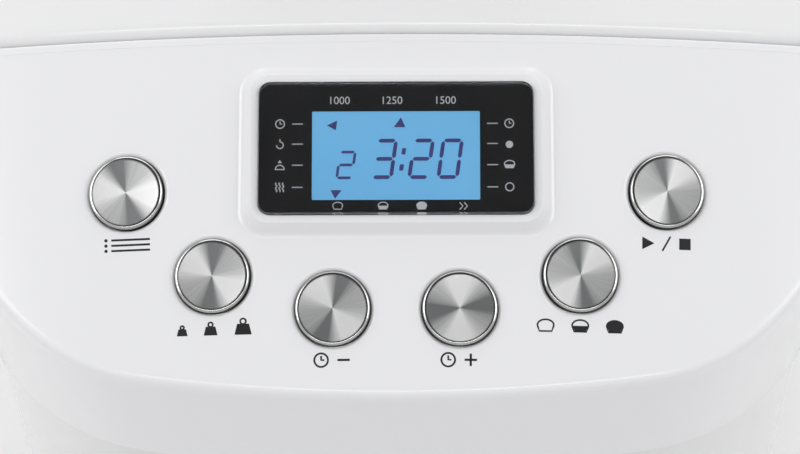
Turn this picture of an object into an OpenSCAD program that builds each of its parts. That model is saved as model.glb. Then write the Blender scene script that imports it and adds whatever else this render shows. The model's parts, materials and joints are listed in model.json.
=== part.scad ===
// Bread machine with two kneading paddles, a sloping control panel and a hinged lid.
// The origin is on the table under the middle of the body, +Z is up and the front faces -Y.

/* [Body] */
// Width of the body
body_w = 270; // [225:1:324]
// Depth of the body, front to rear
body_d = 388; // [372:1:466]
// Height from the table to the top of the lid
body_h = 310; // [300:1:372]
// Wall thickness of the moulded shells
wall = 3; // [2.5:0.1:3.6]
// Radius of the bowed front in plan
front_r = 500; // [400:10:800]
// Radius of the two front corners in plan
front_corner_r = 70; // [50:1:84]
// Radius of the two rear corners in plan
rear_corner_r = 34; // [20:1:50]
// Height of the upright skirt under the control panel
skirt_h = 45; // [35:1:54]
// How far the lower housing is set back from the skirt
set_back = 3; // [2:0.5:4]
// Height of the rubber feet
foot_h = 6; // [5:0.5:8]

/* [Control panel] */
// Slope of the control panel from level
panel_slope = 22; // [18:1:24]
// Depth of the control panel in plan, up to the lid seam
panel_d = 102; // [98:1:112]
// Radius of the crown across the panel and the lid
crown_r = 1100; // [900:50:2000]
// Width of the display window
window_w = 81.6; // [76:0.1:92]
// Height of the display window, along the slope
window_h = 39.9; // [37:0.1:44]
// Corner radius of the display window
window_r = 3.6; // [2:0.1:6]
// Thickness of the clear display window
window_t = 4; // [3:0.1:4.8]
// Width of the raised frame around the window
frame_w = 6; // [5:0.1:8]
// Height of the raised frame over the panel
frame_h = 2.6; // [2:0.1:3.2]

/* [Buttons] */
// Diameter of each button
button_d = 22; // [18:0.1:24]
// Travel of each button
button_travel = 1; // [0.5:0.1:1.2]
// Gap between a button and its hole
button_gap = 0.4; // [0.3:0.05:0.6]
// How far a button stands over the panel
button_proud = 1.4; // [1.2:0.1:2]

/* [Lid] */
// Width of the gap around the lid
lid_gap = 1; // [0.8:0.1:1.5]
// Depth of the ledge behind the lid, which carries the hinges
ledge_d = 28; // [24:1:34]
// Width of the viewing window in the lid
view_w = 130; // [100:1:140]
// Depth of the viewing window in the lid
view_d = 90; // [70:1:100]

/* [Baking] */
// Inside width of the baking chamber
chamber_w = 186; // [180:1:190]
// Inside length of the baking chamber
chamber_l = 236; // [230:1:240]
// Width of the bread pan
pan_w = 130; // [115:1:136]
// Length of the bread pan
pan_l = 190; // [170:1:196]
// Height of the bread pan
pan_h = 124; // [104:1:126]
// Distance between the two kneading paddles
paddle_pitch = 90; // [86:1:96]
// Diameter of the drive shafts and the pan shafts
shaft_d = 8; // [7:0.1:9]

/* [Drive] */
// Pitch radius of the large pulley
big_pulley_r = 42; // [36:0.5:46]
// Pitch radius of the motor pulley
motor_pulley_r = 10; // [9:0.5:12]
// Radius of the two equal pulleys that link the paddles
link_pulley_r = 18; // [15:0.5:21]
// Diameter of the motor
motor_d = 72; // [64:1:76]
// Radial clearance of a running shaft
running_gap = 0.05; // [0.03:0.01:0.1]

/* [Hidden] */
half_w = body_w / 2;
front_y = -body_d / 2;
rear_y = body_d / 2;
seam_y = front_y + panel_d;
lid_arc_r = 348;
lid_back_r = 400;
panel_rise = panel_d * tan(panel_slope);
lid_rise = lid_arc_r * (1 - cos(panel_slope));
edge_z = body_h - lid_rise - panel_rise;
seam_z = edge_z + panel_rise;
skirt_z = edge_z - skirt_h;
deck_z = seam_z - 22;
deck_under = deck_z - wall;
lid_z = deck_z + lid_gap;
lid_front_y = seam_y + lid_gap;
lid_back_y = rear_y - ledge_d;
lid_top_y = seam_y + lid_arc_r * sin(panel_slope);
hinge_y = lid_back_y + 6;
hinge_z = deck_z + 6.5;
hinge_x = 80;
pin_d = 4;
knuckle_r = 5;
knuckle_w = 16;
lug_t = 5;

// Control panel pieces, measured along the slope up from the lower edge of the panel
panel_len = panel_d / cos(panel_slope);
window_s = panel_len - 16 - window_h / 2;
lens_proud = 1.8;
lens_top = frame_h + lens_proud;
lens_seat = lens_top - window_t;
lens_ledge = 2;
lcd_w = 56;
lcd_drop = 2;
lcd_h = window_h - 2 * (lens_ledge + lcd_drop) - 0.4;
lcd_s = window_s - lcd_drop;
lcd_t = 2.8;
backlight_t = 4.5;
board_depth = 17;
board_t = 1.6;
board_w = 180;
board_s0 = 14;
board_s1 = panel_len - 15;
board_post = [84, 6];
switch_h = 5;
stem_gap = button_travel + 0.3;
collar_t = 2;

// Each button: its name, its place across the panel and its distance below the lid seam
buttons = [["menu", -80.4, 47.2], ["weight", -54.3, 73.2], ["time_minus", -18.7, 83.6],
           ["time_plus", 18.7, 83.6], ["browning", 54.3, 73.2], ["start_stop", 80.4, 47.2]];

// Heights and places inside the body
base_t = 3;
base_top = foot_h + base_t;
sheet = 1.2;
chamber_y = rear_y - 26 - chamber_l / 2;
floor_z = base_top + 49;
floor_top = floor_z + sheet;
corner_r = 25;
pan_z = floor_top + 12.8;
pan_top = pan_z + pan_h;
pan_t = 1.5;
pan_corner_r = 24;
rim = 3;
pivot_z = pan_top - 8;
bail_r = pan_w / 2 + 10;
bail_wire = 6;
bail_y = pan_l / 2 + rim + 1.5;
liner_z = deck_z + 10;
glass_z = seam_z + 9;
glass_t = 3;
gasket_t = 2;
shaft_y = [chamber_y - paddle_pitch / 2, chamber_y + paddle_pitch / 2];
motor_y = seam_y - 36;
pulley_z = base_top + 13;
pulley_h = 8;
belt_t = 2.4;
belt_h = 6;
belt_gap = 0.3;
frame_z = base_top + 35;
frame_t = 4;
motor_z = base_top + 37;
motor_h = 64;
rotor_r = 15;
liner_flange_z = lid_z + 1;
liner_l = chamber_l - 14;
lid_post = [[chamber_w / 2 + 8, chamber_y - 80], [chamber_w / 2 + 8, chamber_y + 80]];
grip_w = 100;
grip_d = 14;
grip_bar = 5;
grip_y = seam_y + 40;
grip_z = lid_height(grip_y - grip_d / 2, 0) - 4;
heater_z = floor_top + 15;
rod_d = 6.5;
loop_w = chamber_w - 26;
loop_l = chamber_l - 24;
bend_r = 30;
shield_y = chamber_y - chamber_l / 2 - sheet - 15;
socket_w = 60;
socket_l = paddle_pitch + 60;
socket_gap = 0.6;
ring_t = 3;
link_z = pulley_z + pulley_h + 0.6;
power_at = [half_w - 61, motor_y + 8];
column = [[half_w - 23, rear_y - 34], [half_w - 23, seam_y - 8]];
foot_at = [[half_w - 35, rear_y - 64], [half_w - 55, seam_y - 60]];
$fn = 64;

// Points along an arc, from its first angle to its last
function arc(c, r, a0, a1, n) = [for (i = [0:n]) let(a = a0 + (a1 - a0) * i / n) c + r * [cos(a), sin(a)]];
function tail(points) = [for (i = [1:len(points) - 1]) points[i]];
function mirrored(points) = [for (i = [len(points) - 1:-1:0]) [-points[i][0], points[i][1]]];

// Plan outline of the body, drawn in by an inset: a bowed front, two corners and a straight rear
function plan(inset) = let(
    bow = [0, front_y + front_r],
    cx = half_w - front_corner_r,
    corner = [cx, bow[1] - sqrt(pow(front_r - front_corner_r, 2) - cx * cx)],
    meet = atan2(corner[1] - bow[1], corner[0] - bow[0]),
    rear = [half_w - rear_corner_r, rear_y - rear_corner_r],
    right = concat(tail(arc(bow, front_r - inset, -90, meet, 8)),
                   tail(arc(corner, front_corner_r - inset, meet, 0, 12)),
                   arc(rear, rear_corner_r - inset, 0, 90, 8)))
    concat([[0, front_y + inset]], right, mirrored(right));

// Rounded rectangle about the origin
function rounded(w, l, r) = let(x = w / 2 - r, y = l / 2 - r) concat(
    arc([x, y], r, 0, 90, 8), arc([-x, y], r, 90, 180, 8),
    arc([-x, -y], r, 180, 270, 8), arc([x, -y], r, 270, 360, 8));

// Height of the lid's outside at a distance y: one arc up from the seam, a flatter one down behind
function lid_height(y, t) = let(r = y < lid_top_y ? lid_arc_r : lid_back_r)
    body_h - r + sqrt(pow(r - t, 2) - pow(y - lid_top_y, 2));
function lid_line(y0, y1, t) = [for (i = [0:14]) let(y = y0 + (y1 - y0) * i / 14) [y, lid_height(y, t)]];

// Place of a switch on the flat control board under a button on the crowned panel
function button_s(b) = panel_len - b[2];
function button_r(b) = crown_r - panel_rise + button_s(b) * sin(panel_slope);
function button_turn(b) = asin(b[1] / button_r(b));
function button_drop(b) = button_r(b) * (1 - cos(button_turn(b)));
function stem_reach(b) = (board_depth - button_drop(b) * cos(panel_slope))
    / (1 - pow(cos(panel_slope), 2) * (1 - cos(button_turn(b))));
function switch_at(b) = [
    b[1] - stem_reach(b) * sin(button_turn(b)) * cos(panel_slope),
    button_s(b) - button_drop(b) * sin(panel_slope)];

// Outline of a belt around a small pulley at y0 and a larger or equal one at y1
function belt_line(y0, r0, y1, r1, t) = let(b = asin((r1 - r0) / (y1 - y0))) concat(
    arc([0, y1], r1 + t, -b, 180 + b, 32), arc([0, y0], r0 + t, 180 + b, 360 - b, 24));

// Local frame on the panel: u across, s up the slope, z out of the surface
module on_panel(u, s) {
    r = crown_r - panel_rise + s * sin(panel_slope);
    translate([0, 0, seam_z - crown_r]) rotate([0, asin(u / r), 0])
        translate([0, front_y + s * cos(panel_slope), r]) rotate([panel_slope, 0, 0]) children();
}

// Side profile of [distance, height] points, turned about the long axis of the crown
module crowned(points)
    translate([0, 0, seam_z - crown_r]) rotate([-90, 0, 0])
        rotate_extrude($fn = 360) polygon([for (p = points) [p[1] - seam_z + crown_r, p[0]]]);

// Upright block of the plan outline
module block(inset, z0, z1) translate([0, 0, z0]) linear_extrude(z1 - z0) polygon(plan(inset));

// Upright ring, rod and plate
module rod(d, z0, z1) translate([0, 0, z0]) cylinder(d = d, h = z1 - z0);
module tube(d, bore, z0, z1) difference() {
    rod(d, z0, z1);
    rod(bore, z0 - 1, z1 + 1);
}
module plate(w, l, r, z0, z1) translate([0, 0, z0]) linear_extrude(z1 - z0) polygon(rounded(w, l, r));
module stadium(w, l, z0, z1) translate([0, 0, z0]) linear_extrude(z1 - z0) {
    for (y = [-1, 1]) translate([0, y * (l - w) / 2]) circle(d = w);
    square([w, l - w], center = true);
}
module slab(x, y, z) translate([x[0], y[0], z[0]]) cube([x[1] - x[0], y[1] - y[0], z[1] - z[0]]);
module each_side(points) for (p = points, s = [0, 1]) mirror([s, 0, 0]) translate([p[0], p[1], 0]) children();
module along_x(x0, x1, d) translate([x0, 0, 0]) rotate([0, 90, 0]) cylinder(d = d, h = x1 - x0);
module along_y(y0, y1, d) translate([0, y0, 0]) rotate([-90, 0, 0]) cylinder(d = d, h = y1 - y0);

// Screw with a pan head, head down at z = 0
module screw(d, length) {
    cylinder(d = 2 * d, h = 0.6 * d);
    cylinder(d = d, h = length);
}

// Lower housing: the wall below the skirt, its columns and its vents
module lower_housing() color("whitesmoke") difference() {
    union() {
        difference() {
            block(set_back, foot_h, skirt_z);
            block(set_back + wall, foot_h - 1, skirt_z + 1);
        }
        each_side(column) rod(12, base_top, skirt_z);
        each_side(column) slab([0, half_w - column[0][0] - set_back - wall / 2], [-2, 2], [base_top, skirt_z]);
    }
    each_side(column) rod(5, base_top - 1, skirt_z + 1);
    for (s = [-1, 1], i = [0:9])
        translate([s * half_w, chamber_y - 45 + 10 * i, 0]) slab([-12, 12], [-1.5, 1.5], [90, 150]);
    for (i = [0:8]) translate([-8 + 8 * i, rear_y, 0]) slab([-1.5, 1.5], [-12, 12], [30, 60]);
    translate([-80, rear_y, base_top + 31]) along_y(-12, 1, 14);
}

// Upper housing: skirt, control panel, seam wall and the deck that the lid closes on
module upper_housing() color("white") difference() {
    union() {
        difference() {
            intersection() {
                block(0, skirt_z, seam_z + 5);
                panel_body(0);
            }
            intersection() {
                block(wall, skirt_z - 1, seam_z + 5);
                panel_body(wall);
            }
        }
        on_panel(0, window_s) window_frame();
        intersection() {
            on_panel(0, 0) for (s = [board_s0 + board_post[1], board_s1 - board_post[1]], x = [-1, 1])
                translate([x * board_post[0], s, 0]) rod(7, -board_depth, -4.5);
            block(1, skirt_z, seam_z);
        }
        each_side(column) rod(12, skirt_z, deck_z - 1);
        for (x = [-hinge_x, hinge_x], s = [-1, 1]) translate([x + s * (knuckle_w / 2 + 0.5 + lug_t / 2), hinge_y, 0]) {
            translate([-lug_t / 2, 0, hinge_z]) along_x(0, lug_t, 2 * knuckle_r);
            slab([-lug_t / 2, lug_t / 2], [-knuckle_r, knuckle_r], [deck_z - 1, hinge_z]);
        }
    }
    translate([0, chamber_y, 0]) plate(chamber_w, chamber_l, corner_r, deck_z - wall - 1, deck_z + 1);
    on_panel(0, window_s) plate(window_w - 2 * lens_ledge, window_h - 2 * lens_ledge, window_r - 1, -8, 9);
    on_panel(0, window_s) plate(window_w + 0.2, window_h + 0.2, window_r, lens_seat, 9);
    for (b = buttons) on_panel(b[1], button_s(b)) button_hole();
    each_side(column) rod(4, skirt_z - 1, deck_z - 15);
    on_panel(0, 0) for (s = [board_s0 + board_post[1], board_s1 - board_post[1]], x = [-1, 1])
        translate([x * board_post[0], s, 0]) rod(3, -board_depth - 1, -8);
    for (x = [-hinge_x, hinge_x]) translate([x, hinge_y, hinge_z]) along_x(-20, 20, pin_d);
}

// The crowned panel in front of the seam and the flat deck behind it
module panel_body(t) difference() {
    crowned([[front_y - 20, 60], [front_y - 20, edge_z - 20 * tan(panel_slope) - t / cos(panel_slope)],
        [rear_y + 5, edge_z + (body_d + 5) * tan(panel_slope) - t / cos(panel_slope)], [rear_y + 5, 60]]);
    slab([-half_w - 5, half_w + 5], [seam_y - t, rear_y + 9], [deck_z - t, body_h + 200]);
}

// Raised frame around the window, with a chamfered rim
module window_frame() difference() {
    union() {
        plate(window_w + 2 * frame_w - 2, window_h + 2 * frame_w - 2, window_r + frame_w - 1, -2.5, frame_h);
        plate(window_w + 2 * frame_w, window_h + 2 * frame_w, window_r + frame_w, -2.5, frame_h - 1);
    }
    plate(window_w - 6, window_h - 6, window_r, -3, frame_h + 1);
}

// Bore of a button, opened by a shallow chamfer
module button_hole() {
    rod(button_d + 2 * button_gap, -9, 9);
    translate([0, 0, -0.8]) cylinder(d1 = button_d + 2 * button_gap, d2 = button_d + 2 * button_gap + 4, h = 2);
}

// Clear window, standing a little over its frame
module display_window() color([0.1, 0.1, 0.12])
    on_panel(0, window_s) plate(window_w, window_h, window_r - 0.1, lens_seat, lens_top);

module lcd_module() color("steelblue") on_panel(0, lcd_s)
    slab([-lcd_w / 2, lcd_w / 2], [-lcd_h / 2, lcd_h / 2], [lens_seat - 0.4 - lcd_t, lens_seat - 0.4]);

// Light box behind the display, on four legs that stand on the board
module lcd_backlight() color("lightblue") on_panel(0, lcd_s) {
    top = lens_seat - 0.4 - lcd_t;
    slab([-lcd_w / 2, lcd_w / 2], [-lcd_h / 2, lcd_h / 2], [top - backlight_t, top]);
    for (x = [-1, 1], y = [-1, 1]) translate([x * (lcd_w / 2 - 3), y * (lcd_h / 2 - 3), 0])
        rod(5, -board_depth, top - backlight_t);
}

module control_board() color("darkgreen") on_panel(0, 0) difference() {
    slab([-board_w / 2, board_w / 2], [board_s0, board_s1], [-board_depth - board_t, -board_depth]);
    for (s = [board_s0 + board_post[1], board_s1 - board_post[1]], x = [-1, 1])
        translate([x * board_post[0], s, 0]) rod(3.4, -board_depth - 3, -board_depth + 1);
}

// Controller, sounder, connector and small parts under the board
module board_components() color("dimgray") on_panel(0, 0) {
    under = -board_depth - board_t;
    slab([-10, 10], [40, 60], [under - 2.5, under]);
    translate([45, 30, 0]) rod(12, under - 9, under);
    slab([-20, 20], [76, 84], [under - 8, under]);
    for (i = [0:5]) slab([-60 + 7 * i, -56 + 7 * i], [66, 74], [under - 3, under]);
    for (i = [0:3]) translate([60 + 7 * i, 50, 0]) rod(5, under - 8, under);
}

module tact_switches() color("black") on_panel(0, 0) for (b = buttons) translate(switch_at(b)) {
    slab([-3, 3], [-3, 3], [-board_depth, -board_depth + 3.5]);
    rod(3.5, -board_depth + 3.5, -board_depth + switch_h);
}

module control_board_screws() color("silver") on_panel(0, 0)
    for (s = [board_s0 + board_post[1], board_s1 - board_post[1]], x = [-1, 1])
        translate([x * board_post[0], s, -board_depth - board_t - 1.8]) screw(3, 10);

// Button: a dished metal cap over a collar, with a stem that reaches its switch
module button(name) for (b = buttons) if (b[0] == name) color("silver") on_panel(b[1], button_s(b)) {
    rotate_extrude() polygon([[0, 0], [0, button_proud - 0.3], [button_d / 2 - 1.8, button_proud - 0.3],
        [button_d / 2 - 1.2, button_proud], [button_d / 2 - 0.5, button_proud],
        [button_d / 2, button_proud - 0.6], [button_d / 2, -wall - 0.3], [button_d / 2 + 1.6, -wall - 0.3],
        [button_d / 2 + 1.6, -wall - 0.3 - collar_t], [3, -wall - 0.3 - collar_t],
        [3, -stem_reach(b) + switch_h + stem_gap], [0, -stem_reach(b) + switch_h + stem_gap]]);
}
module menu_button() button("menu");
module weight_button() button("weight");
module time_minus_button() button("time_minus");
module time_plus_button() button("time_plus");
module browning_button() button("browning");
module start_stop_button() button("start_stop");

// Base plate with feet sockets, vents, board posts and columns holes
module base_plate() color("gainsboro") difference() {
    union() {
        block(set_back + wall + 0.2, foot_h, base_top);
        power_posts() rod(8, base_top - 1, base_top + 19);
    }
    each_side(foot_at) rod(8, 0, base_top + 1);
    each_side(column) rod(5, 0, base_top + 1);
    each_side(column) rod(9, 0, foot_h + 1.5);
    power_posts() rod(3, base_top + 5, base_top + 20);
    for (i = [-4:4]) translate([8 * i, chamber_y + 100, 0]) slab([-1.5, 1.5], [-20, 20], [0, base_top + 1]);
    for (i = [-4:4]) translate([8 * i, motor_y, 0]) slab([-1.5, 1.5], [-14, 14], [0, base_top + 1]);
}
module power_posts() for (x = [-1, 1], y = [-1, 1])
    translate([power_at[0] + x * 23, power_at[1] + y * 28, 0]) children();

module rubber_feet() color([0.2, 0.2, 0.2]) each_side(foot_at) {
    rod(24, 0, foot_h);
    rod(8, foot_h - 0.5, base_top);
    rod(10, base_top, base_top + 2);
}

// Long screws, up through the base and the columns into the upper housing
module housing_screws() color("silver") each_side(column) {
    rod(8.6, foot_h - 1, foot_h + 1.5);
    rod(4, foot_h, deck_z - 20);
}

// Lid shell: crowned outside and inside, with a collar that seats the viewing window
module lid_shell() color("white") difference() {
    union() {
        difference() {
            lid_body(0, lid_z);
            lid_body(wall, lid_z - 1);
        }
        intersection() {
            lid_body(1, lid_z);
            union() {
                translate([0, chamber_y, 0]) plate(view_w + 8, view_d + 8, 12, glass_z, body_h);
                each_side(lid_post) rod(9, liner_flange_z + 1, body_h);
            }
        }
        for (x = [-hinge_x, hinge_x]) translate([x, hinge_y, hinge_z]) {
            along_x(-knuckle_w / 2, knuckle_w / 2, 2 * knuckle_r);
            slab([-knuckle_w / 2, knuckle_w / 2], [lid_back_y - wall - hinge_y, 0], [-4, knuckle_r]);
        }
    }
    translate([0, chamber_y, 0]) plate(view_w, view_d, 8, lid_z, body_h + 1);
    each_side(lid_post) rod(3, liner_flange_z - 1, liner_flange_z + 12);
    for (x = [-hinge_x, hinge_x]) translate([x, hinge_y, hinge_z])
        along_x(-knuckle_w, knuckle_w, pin_d + 2 * running_gap);
}
module lid_body(t, z0) intersection() {
    block(t, z0, body_h + 5);
    crowned(concat([[lid_front_y + t, z0 - 60]], lid_line(lid_front_y + t, lid_back_y - t, t),
        [[lid_back_y - t, z0 - 60]]));
}

// Sheet metal liner under the lid, raised over the pan, with a tunnel up to the window
module lid_liner() color("lightgray") translate([0, chamber_y, 0]) difference() {
    union() {
        plate(chamber_w + 26, liner_l, 14, liner_flange_z, liner_flange_z + 1);
        plate(chamber_w - 10, chamber_l - 24, 20, liner_flange_z, liner_z + 1);
        plate(view_w + 4, view_d + 4, 10, liner_z, glass_z - gasket_t - glass_t);
    }
    plate(chamber_w - 12, chamber_l - 26, 19, liner_flange_z - 1, liner_z);
    plate(view_w + 2, view_d + 2, 9, liner_z - 1, glass_z);
    for (x = [-1, 1], y = [-80, 80]) translate([x * (chamber_w / 2 + 8), y, 0]) rod(3.2, lid_z, liner_z);
}

module lid_window() color([0.6, 0.7, 0.75, 0.5]) translate([0, chamber_y, 0])
    plate(view_w + 8, view_d + 8, 12, glass_z - gasket_t - glass_t, glass_z - gasket_t);

module window_gasket() color([0.2, 0.2, 0.2]) translate([0, chamber_y, 0]) difference() {
    plate(view_w + 8, view_d + 8, 12, glass_z - gasket_t, glass_z);
    plate(view_w, view_d, 8, glass_z - gasket_t - 1, glass_z + 1);
}

// Low grip across the front of the lid, with a finger gap under it
module lid_handle() color("lightgray") difference() {
    translate([0, grip_y + grip_d / 2, 0]) rotate([90, 0, 0]) linear_extrude(grip_d) polygon(concat(
        [[-grip_w / 2, grip_z], [grip_w / 2, grip_z]],
        arc([grip_w / 2 - 10, body_h - 10], 10, 0, 90, 8), arc([10 - grip_w / 2, body_h - 10], 10, 90, 180, 8)));
    slab([16 - grip_w / 2, grip_w / 2 - 16], [grip_y - grip_d, grip_y + grip_d], [grip_z - 1, body_h - grip_bar]);
    lid_body(0, lid_z);
}

module lid_screws() color("silver") each_side(lid_post) translate([0, 0, liner_flange_z - 1.8]) screw(3, 12);

module hinge_pins() color("silver") for (x = [-hinge_x, hinge_x])
    translate([x, hinge_y, hinge_z]) along_x(-knuckle_w / 2 - 0.5 - lug_t, knuckle_w / 2 + 0.5 + lug_t, pin_d);

// Baking chamber: a coated sheet box with a flange under the deck
module baking_chamber() color("dimgray") translate([0, chamber_y, 0]) difference() {
    union() {
        plate(chamber_w + 2 * sheet, chamber_l + 2 * sheet, corner_r + sheet, floor_z, deck_under);
        plate(chamber_w + 12, chamber_l + 12, corner_r + 6, deck_under - sheet, deck_under);
    }
    plate(chamber_w, chamber_l, corner_r, floor_top, deck_under + 1);
    for (y = [-1, 1]) translate([0, y * paddle_pitch / 2, 0]) rod(20, floor_z - 1, floor_top + 1);
    for (x = [-15, 15]) translate([x, 0, heater_z]) along_y(-chamber_l / 2 - 5, -chamber_l / 2 + 5, 12);
    translate([45, 0, floor_z + 70]) along_y(-chamber_l / 2 - 5, -chamber_l / 2 + 5, 6);
}

// Four pressed legs that carry the chamber on the base plate
module chamber_legs() color("silver") for (x = [-1, 1], y = [-1, 1])
    translate([x * (chamber_w / 2 - 14), chamber_y + y * (chamber_l / 2 - 20), 0]) {
        slab([-8, 8], [-8, 8], [base_top, base_top + 1.5]);
        slab([-8, 8], [-0.75, 0.75], [base_top + 1.4, floor_z - 1.4]);
        slab([-8, 8], [-8, 8], [floor_z - 1.5, floor_z]);
    }

// Heating element: a rod bent round the pan, with two ends through the front wall
module heating_element() color([0.25, 0.25, 0.26]) translate([0, chamber_y, heater_z]) {
    for (a = [0, 180]) rotate(a) {
        translate([loop_w / 2, -loop_l / 2 + bend_r, 0]) rotate([-90, 0, 0]) cylinder(d = rod_d, h = loop_l - 2 * bend_r);
        for (s = [0, 1]) mirror([0, s, 0]) translate([loop_w / 2 - bend_r, loop_l / 2 - bend_r, 0])
            rotate_extrude(angle = 90) translate([bend_r, 0]) circle(d = rod_d, $fn = 32);
    }
    translate([0, loop_l / 2, 0]) along_x(-loop_w / 2 + bend_r, loop_w / 2 - bend_r, rod_d);
    for (x = [-1, 1]) {
        translate([0, -loop_l / 2, 0]) along_x(min(x * 15, x * (loop_w / 2 - bend_r)), max(x * 15, x * (loop_w / 2 - bend_r)), rod_d);
        translate([x * 15, 0, 0]) along_y(-chamber_l / 2 - 14, -loop_l / 2, rod_d);
    }
}

// Ceramic bushes round the two ends and ceramic posts under the loop
module heater_insulators() color("ivory") translate([0, chamber_y, 0]) {
    for (x = [-15, 15]) translate([x, 0, heater_z]) difference() {
        union() {
            along_y(-chamber_l / 2 - 7, -chamber_l / 2 + 0.01, 12);
            along_y(-chamber_l / 2 - 7, -chamber_l / 2 - sheet, 18);
        }
        along_y(-chamber_l, 0, rod_d);
    }
    for (x = [-1, 1], y = [-50, 50]) translate([x * loop_w / 2, y, 0]) difference() {
        rod(12, floor_top, heater_z);
        translate([0, 0, heater_z]) along_y(-9, 9, rod_d);
    }
}

module temperature_sensor() color("silver") translate([45, chamber_y, floor_z + 70]) {
    along_y(-chamber_l / 2 - 8, -chamber_l / 2 + 8, 6);
    along_y(-chamber_l / 2 - sheet - 3, -chamber_l / 2 - sheet, 16);
}

// Sheet wall between the hot chamber and the electronics
module heat_shield() color("silver") {
    slab([-half_w + 20, half_w - 20], [shield_y - 1, shield_y], [floor_z - 14, deck_under - 8]);
    for (z = [floor_z + 40, deck_under - 9]) slab([-50, 50], [shield_y - 0.5, chamber_y - chamber_l / 2 - sheet], [z, z + 1]);
}

// Socket on the chamber floor that the pan drops over
module pan_socket() color("lightgray") translate([0, chamber_y, 0]) difference() {
    stadium(socket_w, socket_l, floor_top, floor_top + 9);
    stadium(socket_w - 8, socket_l - 8, floor_top + 2, floor_top + 10);
    for (y = [-1, 1]) translate([0, y * paddle_pitch / 2, 0]) rod(20, floor_top - 1, floor_top + 3);
}

// Spring clips that grip the ring under the pan
module pan_clips() color("silver") for (s = [0, 1]) translate([0, chamber_y, floor_top]) mirror([s, 0, 0])
    translate([socket_w / 2 + socket_gap + ring_t + 0.6, 0, 0]) {
        slab([0, 1], [-15, 15], [0, 10]);
        slab([0, 10], [-15, 15], [0, 1]);
    }

module bread_pan() color([0.35, 0.36, 0.38]) translate([0, chamber_y, 0]) difference() {
    union() {
        plate(pan_w, pan_l, pan_corner_r, pan_z, pan_top);
        plate(pan_w + 2 * rim, pan_l + 2 * rim, pan_corner_r + rim, pan_top - pan_t, pan_top);
    }
    plate(pan_w - 2 * pan_t, pan_l - 2 * pan_t, pan_corner_r - pan_t, pan_z + pan_t, pan_top + 1);
    for (y = [-1, 1]) translate([0, y * paddle_pitch / 2, 0]) rod(16, pan_z - 1, pan_z + 3);
    for (s = [-1, 1]) translate([0, s * pan_l / 2, pivot_z]) along_y(-5, 5, 5);
}

module pan_base_ring() color("silver") translate([0, chamber_y, 0]) difference() {
    stadium(socket_w + 2 * (socket_gap + ring_t), socket_l + 2 * (socket_gap + ring_t), floor_top + 0.4, pan_z);
    stadium(socket_w + 2 * socket_gap, socket_l + 2 * socket_gap, floor_top - 1, pan_z + 1);
}

module shaft_seal() rotate_extrude() polygon([[shaft_d / 2 + running_gap, pan_z - 2], [10, pan_z - 2],
    [10, pan_z], [8, pan_z], [8, pan_z + 8], [shaft_d / 2 + running_gap, pan_z + 8]]);
module pan_shaft_seals() color("darkgoldenrod") for (y = shaft_y) translate([0, y, 0]) shaft_seal();

module handle_pivots() color("silver") for (s = [0, 1]) translate([0, chamber_y, pivot_z]) mirror([0, s, 0]) {
    along_y(pan_l / 2 - 2 * pan_t, bail_y + 4.2, 5);
    along_y(bail_y + 3.4, bail_y + 4.6, 9);
    along_y(pan_l / 2 - 2 * pan_t - 0.5, pan_l / 2 - pan_t, 9);
}

// Folding handle of the pan, lying over one long side
module pan_handle() color("silver") translate([0, chamber_y, pivot_z]) {
    for (s = [0, 1]) mirror([0, s, 0]) difference() {
        union() {
            along_y(bail_y, bail_y + 3, 12);
            slab([0, bail_r], [bail_y, bail_y + 3], [-bail_wire / 2, bail_wire / 2]);
        }
        along_y(bail_y - 1, bail_y + 4, 5 + 2 * running_gap);
    }
    translate([bail_r, 0, 0]) along_y(-bail_y - 3, bail_y + 3, bail_wire);
}

// Shaft in the pan: a cross wing below, a retaining collar and the paddle seat above
module pan_shaft(y) color("silver") translate([0, y, 0]) {
    rod(shaft_d, floor_top + 5, pan_z + 24);
    slab([-12, 12], [-2.5, 2.5], [floor_top + 5, floor_top + 9.5]);
    rod(12, pan_z + 8.3, pan_z + 9.5);
}
module front_pan_shaft() pan_shaft(shaft_y[0]);
module rear_pan_shaft() pan_shaft(shaft_y[1]);

// Kneading paddle: a hub with a closed cap and one leaning blade
module paddle(y) color([0.25, 0.25, 0.27]) translate([0, y, pan_z + 10]) difference() {
    union() {
        cylinder(d = 20, h = 14);
        translate([0, 0, 14]) cylinder(d1 = 20, d2 = 12, h = 4);
        rotate([90, 0, 0]) translate([0, 0, -2.2]) linear_extrude(4.4)
            polygon([[0, 0], [36, 0], [39, 4], [37, 16], [28, 26], [18, 24], [8, 17], [0, 16]]);
    }
    translate([0, 0, -1]) cylinder(d = shaft_d, h = 15);
}
module front_paddle() paddle(shaft_y[0]);
module rear_paddle() paddle(shaft_y[1]);

// Drive shaft with its two-lug coupling just over the chamber floor
module drive_shaft(y) color("silver") translate([0, y, 0]) {
    rod(shaft_d, pulley_z - 4, floor_top + 3);
    rod(18, floor_top + 0.5, floor_top + 3.8);
    dog_y = shaft_d / 2 + 2.2;
    for (s = [-1, 1]) slab([-3, 3], [s * dog_y - 2, s * dog_y + 2], [floor_top + 3.7, floor_top + 9]);
}
module front_drive_shaft() drive_shaft(shaft_y[0]);
module rear_drive_shaft() drive_shaft(shaft_y[1]);

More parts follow.
